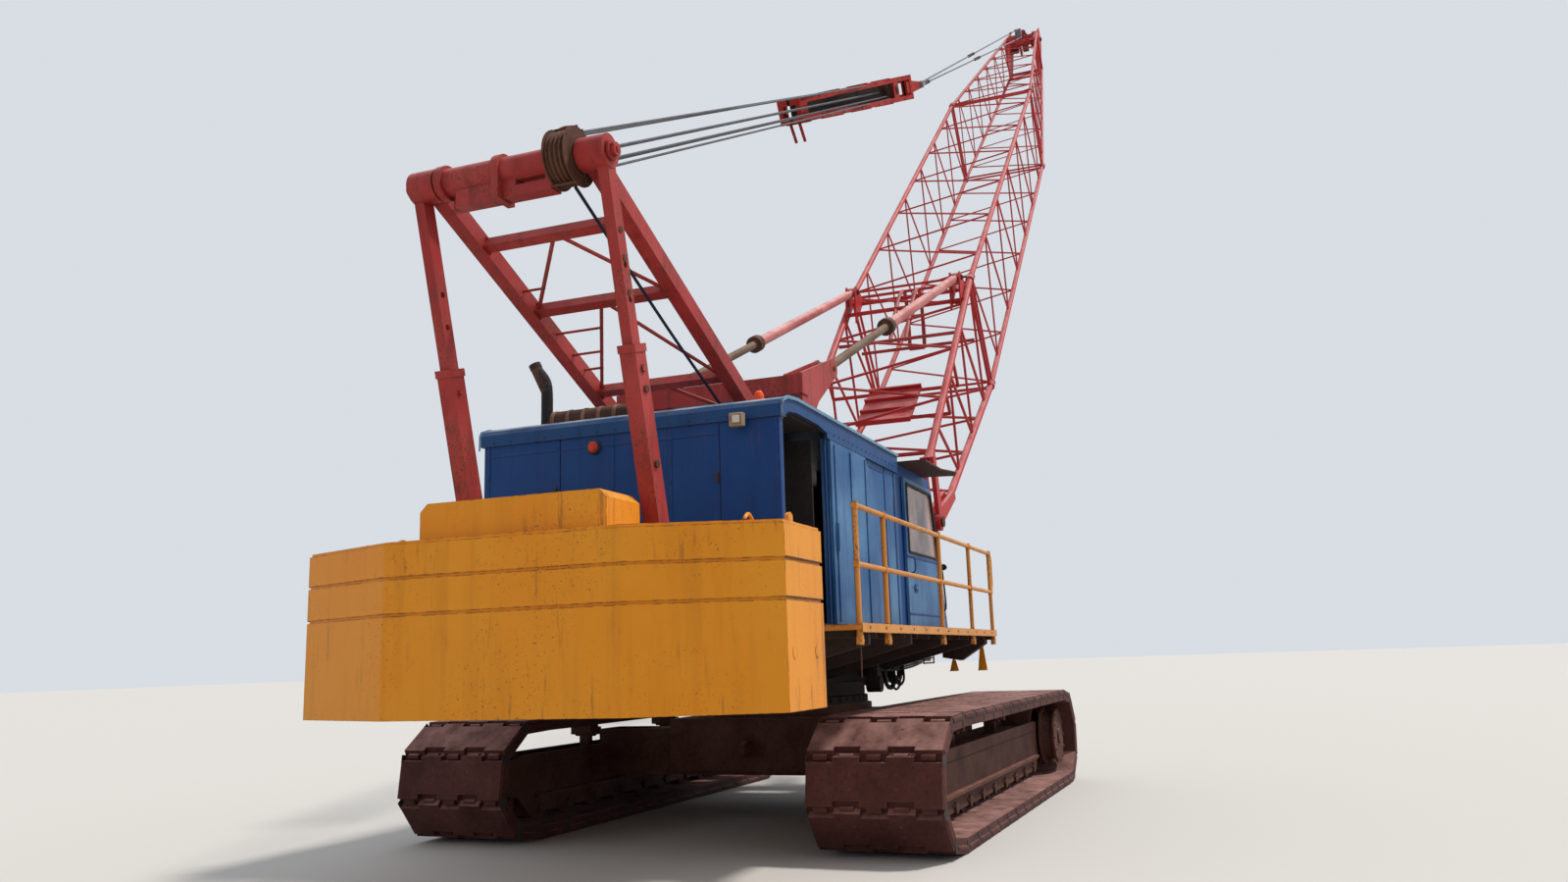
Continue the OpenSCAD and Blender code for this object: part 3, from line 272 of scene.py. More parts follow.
def paint_shade_in_middle(paint_mat, reach, inside=(0.020, 0.010, 0.008, 1)):
    """A copy of a paint with painted shade: near black within reach of the crane's middle plane."""
    mat = paint_mat.copy()
    tree = mat.node_tree
    bsdf = tree.nodes["Principled BSDF"]
    base = bsdf.inputs["Base Color"].links[0].from_socket
    coord = tree.nodes.new("ShaderNodeTexCoord")
    parts = tree.nodes.new("ShaderNodeSeparateXYZ")
    away = tree.nodes.new("ShaderNodeMath")
    away.operation = "ABSOLUTE"
    near = tree.nodes.new("ShaderNodeMath")
    near.operation = "LESS_THAN"
    near.inputs[1].default_value = reach
    mix = tree.nodes.new("ShaderNodeMix")
    mix.data_type = "RGBA"
    factor, a, b = mix.inputs[0], mix.inputs[6], mix.inputs[7]
    b.default_value = inside
    tree.links.new(coord.outputs["Object"], parts.inputs[0])
    tree.links.new(parts.outputs["Y"], away.inputs[0])
    tree.links.new(away.outputs[0], near.inputs[0])
    tree.links.new(near.outputs[0], factor)
    tree.links.new(base, a)
    tree.links.new(mix.outputs[2], bsdf.inputs["Base Color"])
    bsdf.inputs["Specular IOR Level"].default_value = 0.02
    return mat


LOOKS = {
    "red": paint("red_paint", (0.30, 0.018, 0.016), (0.42, 0.065, 0.055), dust=(0.62, 0.30, 0.28),
                 dusty=0.75, rusty=0.585, streak=0.6, wear=0.85),
    "lattice": paint("lattice_red", (0.36, 0.008, 0.010), (0.46, 0.035, 0.032), dust=(0.66, 0.36, 0.34),
                     dusty=0.7, rusty=0.64, streak=0.3, wear=0.4),
    "pink": paint("sunned_red", (0.36, 0.07, 0.065), (0.58, 0.24, 0.22), dust=(0.75, 0.50, 0.48),
                  dusty=1.0, rusty=0.62, streak=0.4, wear=0.7, fade=1.0),
    "blue": paint("blue_paint", (0.0, 0.034, 0.165), (0.002, 0.065, 0.235), dust=(0.24, 0.34, 0.44),
                  dusty=0.6, rusty=0.7, wear=0.35, streak=0.3),
    # A lighter copy of the blue with painted sunlight, for the side walls and the doors
    "side": paint("painted_sunlit_blue", (0.014, 0.080, 0.225), (0.10, 0.235, 0.41), dust=(0.32, 0.36, 0.40),
                  dusty=0.6, rusty=0.68, wear=0.4, streak=0.45, fade=0.9),
    "roof": paint("roof_paint", (0.003, 0.044, 0.155), (0.012, 0.08, 0.22), dust=(0.34, 0.40, 0.45),
                  dusty=1.0, rusty=0.7, wear=0.35),
    "edge": paint("eave_paint", (0.12, 0.24, 0.36), (0.2, 0.32, 0.42), dust=(0.4, 0.45, 0.5),
                  dusty=0.7, rusty=0.66),
    "yellow": paint("yellow_paint", (0.66, 0.22, 0.0), (0.70, 0.29, 0.012), rust=(0.12, 0.045, 0.012),
                    dust=(0.80, 0.46, 0.12), dusty=0.4, rusty=0.65, wear=0.75, streak=0.20, rough=0.36),
    "rail": paint("rail_paint", (0.56, 0.22, 0.035), (0.62, 0.29, 0.08), dusty=0.3, rusty=0.6, wear=0.7),
    "iron": rusted("track_iron", (0.045, 0.012, 0.010), (0.10, 0.032, 0.026), dust=(0.36, 0.19, 0.165),
                   dusty=0.9),
    "under": rusted("undercarriage_iron", (0.055, 0.018, 0.013), (0.13, 0.055, 0.038),
                    dust=(0.30, 0.15, 0.10)),
    "rust": rusted("rusty_steel", (0.045, 0.02, 0.014), (0.10, 0.045, 0.03), dusty=0.25),
    "rod": rusted("dusty_rod", (0.085, 0.045, 0.026), (0.17, 0.105, 0.07), dusty=0.3, rough=0.7),
    "band": rusted("scaled_band", (0.13, 0.055, 0.03), (0.27, 0.14, 0.09), dust=(0.4, 0.3, 0.25),
                   dusty=0.4),
    "sheave": rusted("brown_sheave", (0.050, 0.018, 0.010), (0.12, 0.05, 0.028), dust=(0.25, 0.15, 0.10),
                     dusty=0.3),
    "visor": rusted("visor_sheet", (0.028, 0.009, 0.008), (0.060, 0.022, 0.019), dust=(0.22, 0.13, 0.10),
                    dusty=0.4),
    "tan": rusted("dusty_tan", (0.20, 0.13, 0.08), (0.38, 0.28, 0.19), dust=(0.5, 0.4, 0.3), dusty=0.5),
    "dark": rusted("dark_frame", (0.030, 0.021, 0.019), (0.055, 0.036, 0.03), dust=(0.2, 0.13, 0.10),
                   dusty=0.5),
    # Near black: soot on the exhaust, and painted shade for the sheets in the house
    "soot_and_shade": rusted("soot_and_shade_black", (0.015, 0.014, 0.014), (0.04, 0.03, 0.028), dusty=0.1),
    "cable": rusted("pale_cable", (0.10, 0.11, 0.13), (0.20, 0.22, 0.25), dust=(0.3, 0.3, 0.32),
                    dusty=0.5, scale=3),
    "rope": rusted("wire_rope", (0.035, 0.035, 0.042), (0.09, 0.09, 0.10), dusty=0.15, rough=0.5,
                   metal=0.4, scale=4),
    "tarred": rusted("tarred_rope", (0.004, 0.006, 0.018), (0.012, 0.016, 0.035), dusty=0.05, rough=0.6,
                     scale=4),
    "glass": dusty_glass("dusty_glass", (0.085, 0.060, 0.058), (0.45, 0.26, 0.22), 0.62),
    "rubber": paint("black_rubber", (0.012, 0.012, 0.013), (0.03, 0.028, 0.027), wear=0.0, dusty=0.35,
                    rusty=0.8, rough=0.6),
    "seat": paint("seat_cover", (0.02, 0.02, 0.022), (0.03, 0.03, 0.03), wear=0.1, rusty=0.8, rough=0.6),
    "lens_red": paint("red_lens", (0.55, 0.03, 0.02), (0.6, 0.08, 0.05), wear=0.0, rusty=0.9, rough=0.3),
    "lens_clear": paint("clear_lens", (0.55, 0.55, 0.5), (0.62, 0.6, 0.55), wear=0.0, rusty=0.9,
                        rough=0.25),
    "lens_orange": paint("orange_lens", (0.85, 0.07, 0.005), (0.9, 0.13, 0.01), wear=0.0, rusty=0.9,
                         rough=0.3),
}

NODES_OF_LOOK = {
    "red": ["gantry_front", "gantry_rear_outer", "gantry_rear_inner", "peak_beam", "backstop_stand",
            "bridle"],
    "lattice": ["boom_base", "boom_insert", "boom_tip"],
    "pink": ["backstop_tube_left", "backstop_tube_right"],
    "blue": ["house_rear_wall", "house_front_wall", "cab_shell"],
    # The side walls and doors take the lighter blue with painted sunlight
    "side": ["house_side_walls", "house_door", "cab_door"],
    "roof": ["house_roof"],
    "yellow": ["counterweight_lower", "counterweight_middle", "counterweight_upper",
               "counterweight_centre"],
    "rail": ["walkways", "handrails"],
    "iron": ["track_left", "track_right"],
    "under": ["track_frame_left", "track_frame_right", "track_wheels", "track_rollers", "carbody"],
    "rust": ["muffler", "head_sheaves", "bridle_sheaves"],
    "sheave": ["peak_sheaves", "rope_guard"],
    "visor": ["visor"],
    "rod": ["backstop_rod_left", "backstop_rod_right"],
    "dark": ["swing_ring", "main_frame", "deck", "engine", "winch_stand", "winch_drum", "door_rail"],
    "cable": ["pendants"],
    "glass": ["cab_glass", "cab_door_glass"],
    "seat": ["cab_seat"],
}


def dress_nodes():
    """Gives the CAD nodes their materials, and the counterweight its rounded edges."""
    for look, names in NODES_OF_LOOK.items():
        for name in names:
            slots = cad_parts[name].data.materials
            slots.clear()
            slots.append(LOOKS[look])
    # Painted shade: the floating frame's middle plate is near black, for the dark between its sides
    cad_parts["bridle"].data.materials[0] = paint_shade_in_middle(LOOKS["red"], 0.02)
    for name in NODES_OF_LOOK["yellow"]:
        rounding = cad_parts[name].modifiers.new("edge", "BEVEL")
        rounding.width = 0.030
        rounding.segments = 3
        rounding.angle_limit = math.radians(25)


# Mesh building
SMOOTH_BELOW = math.radians(40)


class Form:
    """Collects simple forms into one piece."""

    def __init__(self):
        self.bm = bmesh.new()

    def tube(self, a, b, r, sides=10, r2=None):
        """A straight bar, or a cone where r2 is given."""
        a, b = Vector(a), Vector(b)
        turn = (b - a).to_track_quat("Z", "Y").to_matrix().to_4x4()
        place = Matrix.Translation((a + b) / 2) @ turn
        bmesh.ops.create_cone(self.bm, cap_ends=True, segments=sides, radius1=r,
                              radius2=r if r2 is None else r2, depth=(b - a).length, matrix=place)

    def box(self, low, high):
        low, high = Vector(low), Vector(high)
        place = Matrix.Translation((low + high) / 2) @ Matrix.Diagonal((*(high - low), 1))
        bmesh.ops.create_cube(self.bm, size=1, matrix=place)

    def plate(self, outline, across):
        """A polygon pushed along a vector."""
        lower = [self.bm.verts.new(Vector(p)) for p in outline]
        upper = [self.bm.verts.new(Vector(p) + Vector(across)) for p in outline]
        self.bm.faces.new(lower)
        self.bm.faces.new(upper[::-1])
        for i, v in enumerate(lower):
            j = (i + 1) % len(lower)
            self.bm.faces.new((v, upper[i], upper[j], lower[j]))

    def band(self, a, b):
        """Faces between two rings of points."""
        for k, v in enumerate(a):
            j = (k + 1) % len(a)
            self.bm.faces.new((v, a[j], b[j], b[k]))

    def hose(self, points, r, sides=8, smooth=5):
        """A bent tube on a smooth curve through the points."""
        pts = [Vector(p) for p in points]
        ext = [2 * pts[0] - pts[1]] + pts + [2 * pts[-1] - pts[-2]]
        line = []
        for i in range(1, len(ext) - 2):
            p0, p1, p2, p3 = ext[i - 1:i + 3]
            for k in range(smooth):
                t = k / smooth
                line.append(0.5 * (2 * p1 + (p2 - p0) * t + (2 * p0 - 5 * p1 + 4 * p2 - p3) * t * t
                                   + (3 * p1 - p0 - 3 * p2 + p3) * t ** 3))
        line.append(pts[-1])
        rings = []
        for i, p in enumerate(line):
            way = (line[min(i + 1, len(line) - 1)] - line[max(i - 1, 0)]).normalized()
            side = way.cross(Vector((0.13, 0.21, 0.97))).normalized()
            up = side.cross(way)
            rings.append([self.bm.verts.new(p + side * u + up * v) for u, v in round_points(sides, r)])
        for a, b in zip(rings, rings[1:]):
            self.band(a, b)
        self.bm.faces.new(rings[0][::-1])
        self.bm.faces.new(rings[-1])

    def ring(self, a, b, r, inner, sides=24):
        """A hollow cylinder."""
        a, b = Vector(a), Vector(b)
        turn = (b - a).to_track_quat("Z", "Y").to_matrix()
        loops = []
        for at, radius in ((a, inner), (a, r), (b, r), (b, inner)):
            loops.append([self.bm.verts.new(at + turn @ Vector((u, v, 0)))
                          for u, v in round_points(sides, radius)])
        for p, q in zip(loops, loops[1:] + loops[:1]):
            self.band(p, q)

    def bolt(self, at, way, r=0.016, h=0.012):
        """A hexagon head with its washer."""
        at, way = Vector(at), Vector(way).normalized()
        self.tube(at, at + way * h * 0.35, r * 1.45, 12)
        self.tube(at + way * h * 0.2, at + way * h, r, 6)

    def weld(self, a, b, r):
        """A slightly lumpy straight bead."""
        a, b = Vector(a), Vector(b)
        count = max(2, int((b - a).length / 0.05))
        for k in range(count):
            self.tube(a.lerp(b, k / count), a.lerp(b, (k + 1) / count), r * rng.uniform(0.8, 1.2), 6,
                      r * rng.uniform(0.8, 1.2))

    def done(self, name, look, body, bevel=0.0):
        """Makes the piece and lets it ride on its body."""
        mesh = bpy.data.meshes.new(name)
        bmesh.ops.recalc_face_normals(self.bm, faces=self.bm.faces)
        self.bm.to_mesh(mesh)
        self.bm.free()
        mesh.set_sharp_from_angle(angle=SMOOTH_BELOW)
        for poly in mesh.polygons:
            poly.use_smooth = True
        obj = bpy.data.objects.new(name, mesh)
        bpy.context.scene.collection.objects.link(obj)
        mesh.materials.append(LOOKS[look])
        if bevel:
            mod = obj.modifiers.new("edge", "BEVEL")
            mod.width = bevel
            mod.segments = 2
            mod.limit_method = "ANGLE"
        if body:
            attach(obj, body)
        return obj


# Ropes
ROPE_R = 0.011
FRAME_PIN = 12.65
# Each rope: across and over the stay line at the peak, across and over it at the floating frame
STAY_PARTS = [(-0.545, 0.165, 0.10, 0.155), (-0.535, 0.020, 0.03, 0.016), (-0.505, 0.012, 0.06, 0.008),
              (-0.475, -0.066, -0.02, -0.074), (-0.450, -0.078, 0.10, -0.088),
              (-0.520, -0.122, -0.07, -0.125), (-0.460, 0.150, -0.08, 0.150)]


def stay_ropes():
    """The ropes between the peak and the floating frame, as straight tubes fixed in place."""
    for i, (y0, z0, y1, z1) in enumerate(STAY_PARTS):
        f = Form()
        f.tube(on_stay(0.12, y0, z0), on_stay(FRAME_PIN - 0.05, y1, z1), ROPE_R, 8)
        obj = f.done("stay_rope_%d" % (i + 1), "rope", None)
        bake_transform(obj)


def lead_rope():
    """The boom hoist rope from the peak sheaves down through a fairlead in the roof."""
    hole_x, y = -2.42, -0.50
    top, low = Vector((-5.31, y, 4.985)), Vector((hole_x, y, ROOF_Z + 0.005))
    middle = (top + low) / 2 - Vector((0, 0, 0.03))
    f = Form()
    f.hose([top, middle, low], 0.014, 8, 6)
    f.done("lead_rope", "tarred", "upper")

    plate_z = ROOF_Z + 0.018
    f = Form()
    f.box((-3.25, -0.57, ROOF_Z), (-2.28, -0.25, plate_z))
    f.tube((hole_x, y, ROOF_Z), (hole_x - 0.035, y, ROOF_Z + 0.05), 0.045, 16, 0.035)
    for dx in (-0.11, 0.11):
        for dy in (-0.05, 0.05):
            f.bolt((hole_x + dx, y + dy, plate_z), UP, 0.009, 0.01)
    f.done("rope_fairlead", "dark", "upper", 0.003)


# Machinery house
FLANGE_X = -1.37


def house_seams():
    """Folded seams and strips on the right wall and the rear wall."""
    wall, rear = -HOUSE_HALF, HOUSE_REAR
    foot = DECK_Z + 0.04
    f = Form()
    for x in (-2.46, FLANGE_X, -0.66, -0.30):
        f.box((x - 0.018, wall - 0.007, foot), (x + 0.018, wall + SUNK, EAVE_Z))
    for x0, x1 in ((-2.40, -2.0), (-1.90, -1.43), (-1.20, -0.72)):
        f.box((x0, wall - 0.005, 3.43), (x1, wall + SUNK, 3.455))
    for x in (-3.645, -2.545):
        f.box((x - 0.022, wall - 0.003, foot), (x + 0.022, wall + SUNK, 3.43))
    for y in (-1.385, -0.44, 0.10, 1.34):
        f.box((rear - 0.006, y, DECK_Z + 0.05), (rear + SUNK, y + 0.03, EAVE_Z))
    for y0, y1 in ((-0.86, 0.60), (0.66, 1.33)):
        f.box((rear - 0.005, y0, 3.40), (rear + SUNK, y1, 3.42))
    f.done("house_seams", "blue", "upper", 0.003)


def eaves():
    """Pale edge strips along the roof's two sides, bent down over its rear corners."""
    arch = [(-3.705, 3.49), (-3.703, 3.60), (-3.68, 3.643), (-3.57, 3.682), (-3.35, 3.702),
            (-0.22, 3.702)]
    f = Form()
    for (x0, z0), (x1, z1) in zip(arch, arch[1:]):
        for side in BOTH:
            y = side * (HOUSE_HALF + 0.028)
            f.plate([(x0, y, z0 - 0.022), (x1, y, z1 - 0.022), (x1, y, z1 + 0.006), (x0, y, z0 + 0.006)],
                    (0, side * 0.02, 0))
    f.done("eaves", "edge", "upper", 0.002)


def doorway_seal():
    """A rubber bead round the doorway in the right wall."""
    jamb = [(-3.60, 1.85), (-3.60, 3.52), (-3.53, 3.56), (-3.34, 3.582), (-2.81, 3.578), (-2.56, 3.545),
            (-2.56, 1.85)]
    y = -HOUSE_HALF + 0.003
    f = Form()
    for (x0, z0), (x1, z1) in zip(jamb, jamb[1:]):
        f.tube((x0, y, z0), (x1, y, z1), 0.007, 8)
    f.done("doorway_seal", "rubber", "upper")


def house_shade_sheets():
    """Painted shade: sheets on the left wall, across the house ahead of the doorway, and under the roof."""
    floor_z, top_z = 1.84, 3.49
    ceilings = ((-3.62, -1.37, -3.22, 1.33), (-3.22, -0.28, -2.62, 1.0), (-3.22, -1.37, -2.62, -0.54))
    # Near-black sheets where the house is in shade: painted shade
    f = Form()
    f.box((-3.62, 1.335, floor_z), (0.95, 1.352, top_z))
    f.box((-2.64, -1.30, floor_z), (-2.62, 1.33, top_z))
    for x0, y0, x1, y1 in ceilings:
        f.box((x0, y0, 3.565), (x1, y1, 3.587))
    f.done("house_shade_sheets", "soot_and_shade", "upper", 0.003)


def house_bolts():
    """Bolt heads on the seams and along the eaves."""
    right = (0, -1, 0)
    r, h = 0.007, 0.006
    f = Form()
    for k in range(9):
        f.bolt((FLANGE_X, -HOUSE_HALF - 0.008, 1.95 + k * 0.18), right, r, h)
    for y in (-1.37, -0.425, 0.115, 1.355):
        for k in range(9):
            f.bolt((HOUSE_REAR - 0.006, y, 1.95 + k * 0.18), BACK, r, h)
    for k in range(16):
        f.bolt((-2.5 + k * 0.14, -HOUSE_HALF - 0.03, 3.56), right, r, h)
        f.bolt((HOUSE_REAR - 0.02, -1.3 + k * 0.173, 3.53), BACK, r, h)
    f.done("house_bolts", "blue", "upper")


def roof_hatches():
    """Roof seams and hatches with their hand grips."""
    hatch_z = ROOF_Z + 0.03
    f = Form()
    for x in (-3.20, -1.32, -0.62):
        f.box((x, -1.42, ROOF_Z - SUNK), (x + 0.03, 1.42, ROOF_Z + 0.008))
    f.box((-1.20, -0.40, ROOF_Z), (-0.75, 0.30, hatch_z))
    f.box((0.10, 0.10, ROOF_Z), (0.85, 1.10, hatch_z))
    grip = ((-0.09, -0.002), (-0.09, 0.03), (0.09, 0.03), (0.09, -0.002))
    for x, y in ((-0.98, -0.05), (0.48, 0.6)):
        f.hose([(x + dx, y, hatch_z + dz) for dx, dz in grip], 0.007, 6, 4)
    f.done("roof_hatches", "roof", "upper", 0.004)


def tail_lamp():
    """A round red lamp on the rear wall."""
    y, z = 0.29, 3.40
    f = Form()
    f.tube((HOUSE_REAR, y, z), (HOUSE_REAR - 0.02, y, z), 0.062, 24)
    f.tube((HOUSE_REAR - 0.02, y, z), (HOUSE_REAR - 0.035, y, z), 0.062, 24, 0.052)
    f.done("tail_lamp_rims", "dark", "upper")
    f = Form()
    f.tube((HOUSE_REAR - 0.033, y, z), (HOUSE_REAR - 0.05, y, z), 0.050, 24, 0.030)
    f.done("tail_lamp_lenses", "lens_red", "upper")


def work_lamp():
    """A square lamp high on the rear wall, on its bracket."""
    f = Form()
    f.box((-3.80, -1.13, 3.43), (-3.73, -1.01, 3.54))
    f.box((-3.735, -1.085, 3.46), (-3.70, -1.055, 3.51))
    f.done("work_lamp", "tan", "upper", 0.008)
    f = Form()
    f.box((-3.812, -1.105, 3.455), (-3.80, -1.045, 3.515))
    f.done("work_lamp_lens", "lens_clear", "upper", 0.004)


def beacon():
    """A domed orange beacon on the roof."""
    x, y = -3.30, -1.08
    f = Form()
    f.tube((x, y, ROOF_Z - 0.01), (x, y, ROOF_Z + 0.035), 0.055, 20)
    f.done("beacon_foot", "dark", "upper", 0.004)
    f = Form()
    rings = [(0.035, 0.044), (0.07, 0.043), (0.10, 0.036), (0.118, 0.02)]
    for (z0, r0), (z1, r1) in zip(rings, rings[1:]):
        f.tube((x, y, ROOF_Z + z0), (x, y, ROOF_Z + z1), r0, 20, r1)
    f.done("beacon", "lens_orange", "upper")


def rear_brackets():
    """A small bracket, four hinges and a catch on the rear wall."""
    f = Form()
    f.box((-3.75, -0.72, 2.30), (HOUSE_REAR, -0.68, 2.46))
    f.box((-3.76, -0.75, 2.44), (HOUSE_REAR, -0.65, 2.47))
    for z in (2.2, 3.0):
        for y in (0.67, -0.85):
            f.tube((HOUSE_REAR - 0.012, y, z), (HOUSE_REAR - 0.012, y, z + 0.09), 0.012, 10)
    f.box((-3.70, 0.20, 2.60), (HOUSE_REAR, 0.24, 2.72))
    f.done("rear_brackets", "rust", "upper", 0.003)


# Counterweight
def lifting_eyes():
    """Lifting bosses on the lower slab's sides and two bent eyes on top."""
    f = Form()
    for side in BOTH:
        for x in (-4.56, -5.0):
            f.tube((x, side * (CW_HALF - 0.02), 1.62), (x, side * (CW_HALF + 0.004), 1.62), 0.045, 20)
    x, eye = -4.62, ((-0.07, 2.48), (-0.07, 2.56), (0, 2.60), (0.07, 2.56), (0.07, 2.48))
    for y in (-1.5, 1.5):
        f.hose([(x + dx, y, z) for dx, z in eye], 0.014, 8, 5)
    f.done("lifting_eyes", "yellow", "upper")


def counterweight_bolts():
    """Rusty joints between the slabs at both sides, and the tie rods' nuts on top."""
    f = Form()
    for z in (1.978, 2.237):
        for side in BOTH:
            y = side * (CW_HALF + 0.003)
            f.weld((-4.42, y, z), (-5.12, y, z), 0.006)
    for y in (-1.6, -1.2, 1.2, 1.6):
        f.tube((-4.9, y, 2.484), (-4.9, y, 2.50), 0.045, 6)
        f.tube((-4.9, y, 2.49), (-4.9, y, 2.53), 0.022, 12)
    f.done("counterweight_bolts", "rust", "upper")


# Cab
def cab_front(z):
    """How far forward the cab's leaning front stands at a height."""
    return 1.81 - 0.56 * (z - DECK_Z) / 1.8


def cab_door_trim():
    """The window's rubber, a handle, a lock plate and two swages on the cab door."""
    y = -HOUSE_HALF - 0.039
    x0, low, high = 0.07, 2.68, 3.43
    corners = [(x0, low), (cab_front(low) - 0.14, low), (cab_front(high) - 0.14, high), (x0, high)]
    f = Form()
    for (xa, za), (xb, zb) in zip(corners, corners[1:] + corners[:1]):
        f.hose([(xa, y, za), ((xa + xb) / 2, y, (za + zb) / 2), (xb, y, zb)], 0.016, 8, 3)
    f.done("window_rubber", "rubber", "cab_door")

    f = Form()
    handle = ((0.004, 2.45), (0.05, 2.47), (0.05, 2.60), (0.004, 2.62))
    f.hose([(0.10, y - out, z) for out, z in handle], 0.009, 8, 5)
    f.box((0.24, y - 0.006, 2.25), (0.37, y + SUNK, 2.34))
    for z in (2.0, 2.62):
        f.box((0.0, y - 0.005, z), (cab_front(z) - 0.08, y + SUNK, z + 0.022))
    f.done("cab_door_trim", "blue", "cab_door", 0.003)


def windscreen_rubber():
    """Corner strips of the cab, the windscreen's rubber and its wiper."""
    right, left = -1.29, -0.61
    low, high = 2.36, 3.46

    def ahead(y, z, out=0.004):
        return cab_front(z) + out, y, z

    f = Form()
    y = -HOUSE_HALF - 0.003
    for z0, z1 in ((1.9, 2.32), (low, 3.5)):
        f.plate([ahead(y, z0, -0.09), ahead(y, z0), ahead(y, z1), ahead(y, z1, -0.09)], (0, -0.006, 0))
    for y in (right, left):
        f.tube(ahead(y, low), ahead(y, high), 0.016, 8)
    for z in (low, high):
        f.tube(ahead(right, z), ahead(left, z), 0.016, 8)
    f.tube(ahead(-0.95, 2.45, 0.02), ahead(-0.75, 3.0, 0.03), 0.008, 8)
    f.box((cab_front(2.4), -1.0, 2.39), (cab_front(2.4) + 0.06, -0.9, 2.46))
    f.done("windscreen_rubber", "rubber", "upper")


def side_lamp_and_grip():
    """A lamp and a bent hand grip on the cab's front corner."""
    y = -1.46
    f = Form()
    f.tube((1.52, -1.42, 2.60), (1.60, y, 2.60), 0.012, 8)
    f.tube((1.585, y, 2.60), (1.64, y, 2.60), 0.038, 16, 0.030)
    f.hose([(1.60, -1.402, 2.1), (1.60, y, 2.14), (1.42, y, 2.70), (1.42, -1.402, 2.74)], 0.011, 8, 5)
    f.done("side_lamp_and_grip", "rubber", "upper", 0.006)


def visor_braces():
    """Rods under the visor's outer edge, and the bolts that hold it on the cab roof."""
    edge = [(-0.19, -1.73), (0.55, -1.73), (0.87, -1.83), (1.10, -1.76)]
    f = Form()
    for a, b in zip(edge, edge[1:]):
        f.tube((*a, 3.625), (*b, 3.625), 0.012, 8)
    for x in (0.0, 0.5, 1.0):
        f.bolt((x, -1.30, 3.634), UP, 0.012, 0.01)
    f.done("visor_braces", "rust", "upper")


# Deck, walkways and rails
def rail_joints():
    """Post sockets below the deck edge with their lugs, and lumps where the rails cross the posts."""
    f = Form()
    for side in BOTH:
        y = side * RAIL_Y
        for x in POSTS:
            f.tube((x, y, 1.67), (x, y, DECK_Z + 0.02), 0.026, 12)
            f.tube((x, y, 1.665), (x, y, 1.735), 0.031, 12)
            f.box((x - 0.044, y - 0.015, 1.674), (x + 0.044, y + 0.015, 1.722))
            for dx in (-0.037, 0.037):
                f.bolt((x + dx, y + side * 0.015, 1.698), (0, side, 0), 0.007, 0.008)
            for z in (DECK_Z + 0.466, DECK_Z + 0.926):
                f.tube((x, y, z - 0.03), (x, y, z + 0.03), 0.0265, 12)
                f.tube((x - 0.03, y, z), (x + 0.03, y, z), 0.0265, 12)
    f.done("rail_joints", "rail", "upper")


def walkway_treads():
    """Tread strips across the walkways, bolts in their edges and dark beams below."""
    f = Form()
    for side in BOTH:
        y = side * WALK_Y
        for k in range(27):
            x = -3.55 + k * 0.2
            f.box((x, y - 0.26, DECK_Z - 0.001), (x + 0.012, y + 0.26, DECK_Z + 0.005))
        for k in range(12):
            f.bolt((-3.4 + k * 0.45, side * 2.003, 1.80), (0, side, 0), 0.009, 0.008)
    f.done("walkway_treads", "rail", "upper")
    f = Form()
    for side in BOTH:
        y = side * WALK_Y
        for k in range(13):
            x = -3.5 + k * 0.44
            f.box((x - 0.01, y - 0.25, 1.72), (x + 0.01, y + 0.25, 1.78))
    f.done("walkway_beams", "dark", "upper", 0.004)


def step_brackets():
    """Two yellow step brackets under the front of the deck."""
    x = 1.88
    f = Form()
    for y, top in ((-1.455, 1.50), (-1.80, 1.66)):
        f.plate([(x, y - 0.055, 1.37), (x, y + 0.055, 1.37), (x, y + 0.02, top), (x, y - 0.02, top)],
                (0.012, 0, 0))
        f.box((x - 0.04, y - 0.05, 1.365), (x + 0.02, y + 0.05, 1.377))
        f.tube((x + 0.006, y, top - 0.02), (1.80, y, 1.72), 0.014, 8)
    f.done("step_brackets", "yellow", "upper", 0.002)


def post_wire():
    """A wire left hanging from the rearmost rail post."""
    f = Form()
    f.hose([(-3.56, -1.964, 1.68), (-3.555, -1.967, 1.60), (-3.56, -1.966, 1.50), (-3.552, -1.964, 1.42)],
           0.006, 6, 3)
    f.done("post_wire", "rust", "upper")


def deck_hoses():
    """Loops of hose under the deck, and pipes that run forward."""
    f = Form()
    for k in range(8):
        y = -0.98 + 0.022 * k
        drop = rng.uniform(0.16, 0.30)
        x = 1.12 + rng.uniform(-0.08, 0.08)
        f.hose([(x + 0.16, y, 1.52), (x + 0.13, y - 0.02, 1.50 - drop * 0.8), (x, y, 1.48 - drop),
                (x - 0.12, y + 0.02, 1.50 - drop * 0.7), (x - 0.15, y + 0.03, 1.52)], 0.014, 8, 5)
    for k in range(4):
        z = 1.44 + 0.022 * k
        f.hose([(0.25, -0.92 + 0.02 * k, z), (0.9, -0.95 + 0.02 * k, z - 0.03),
                (1.5, -1.0 + 0.02 * k, z - 0.01), (1.9, -1.05, z + 0.04)], 0.012, 8, 4)
    f.done("hoses", "rubber", "upper")


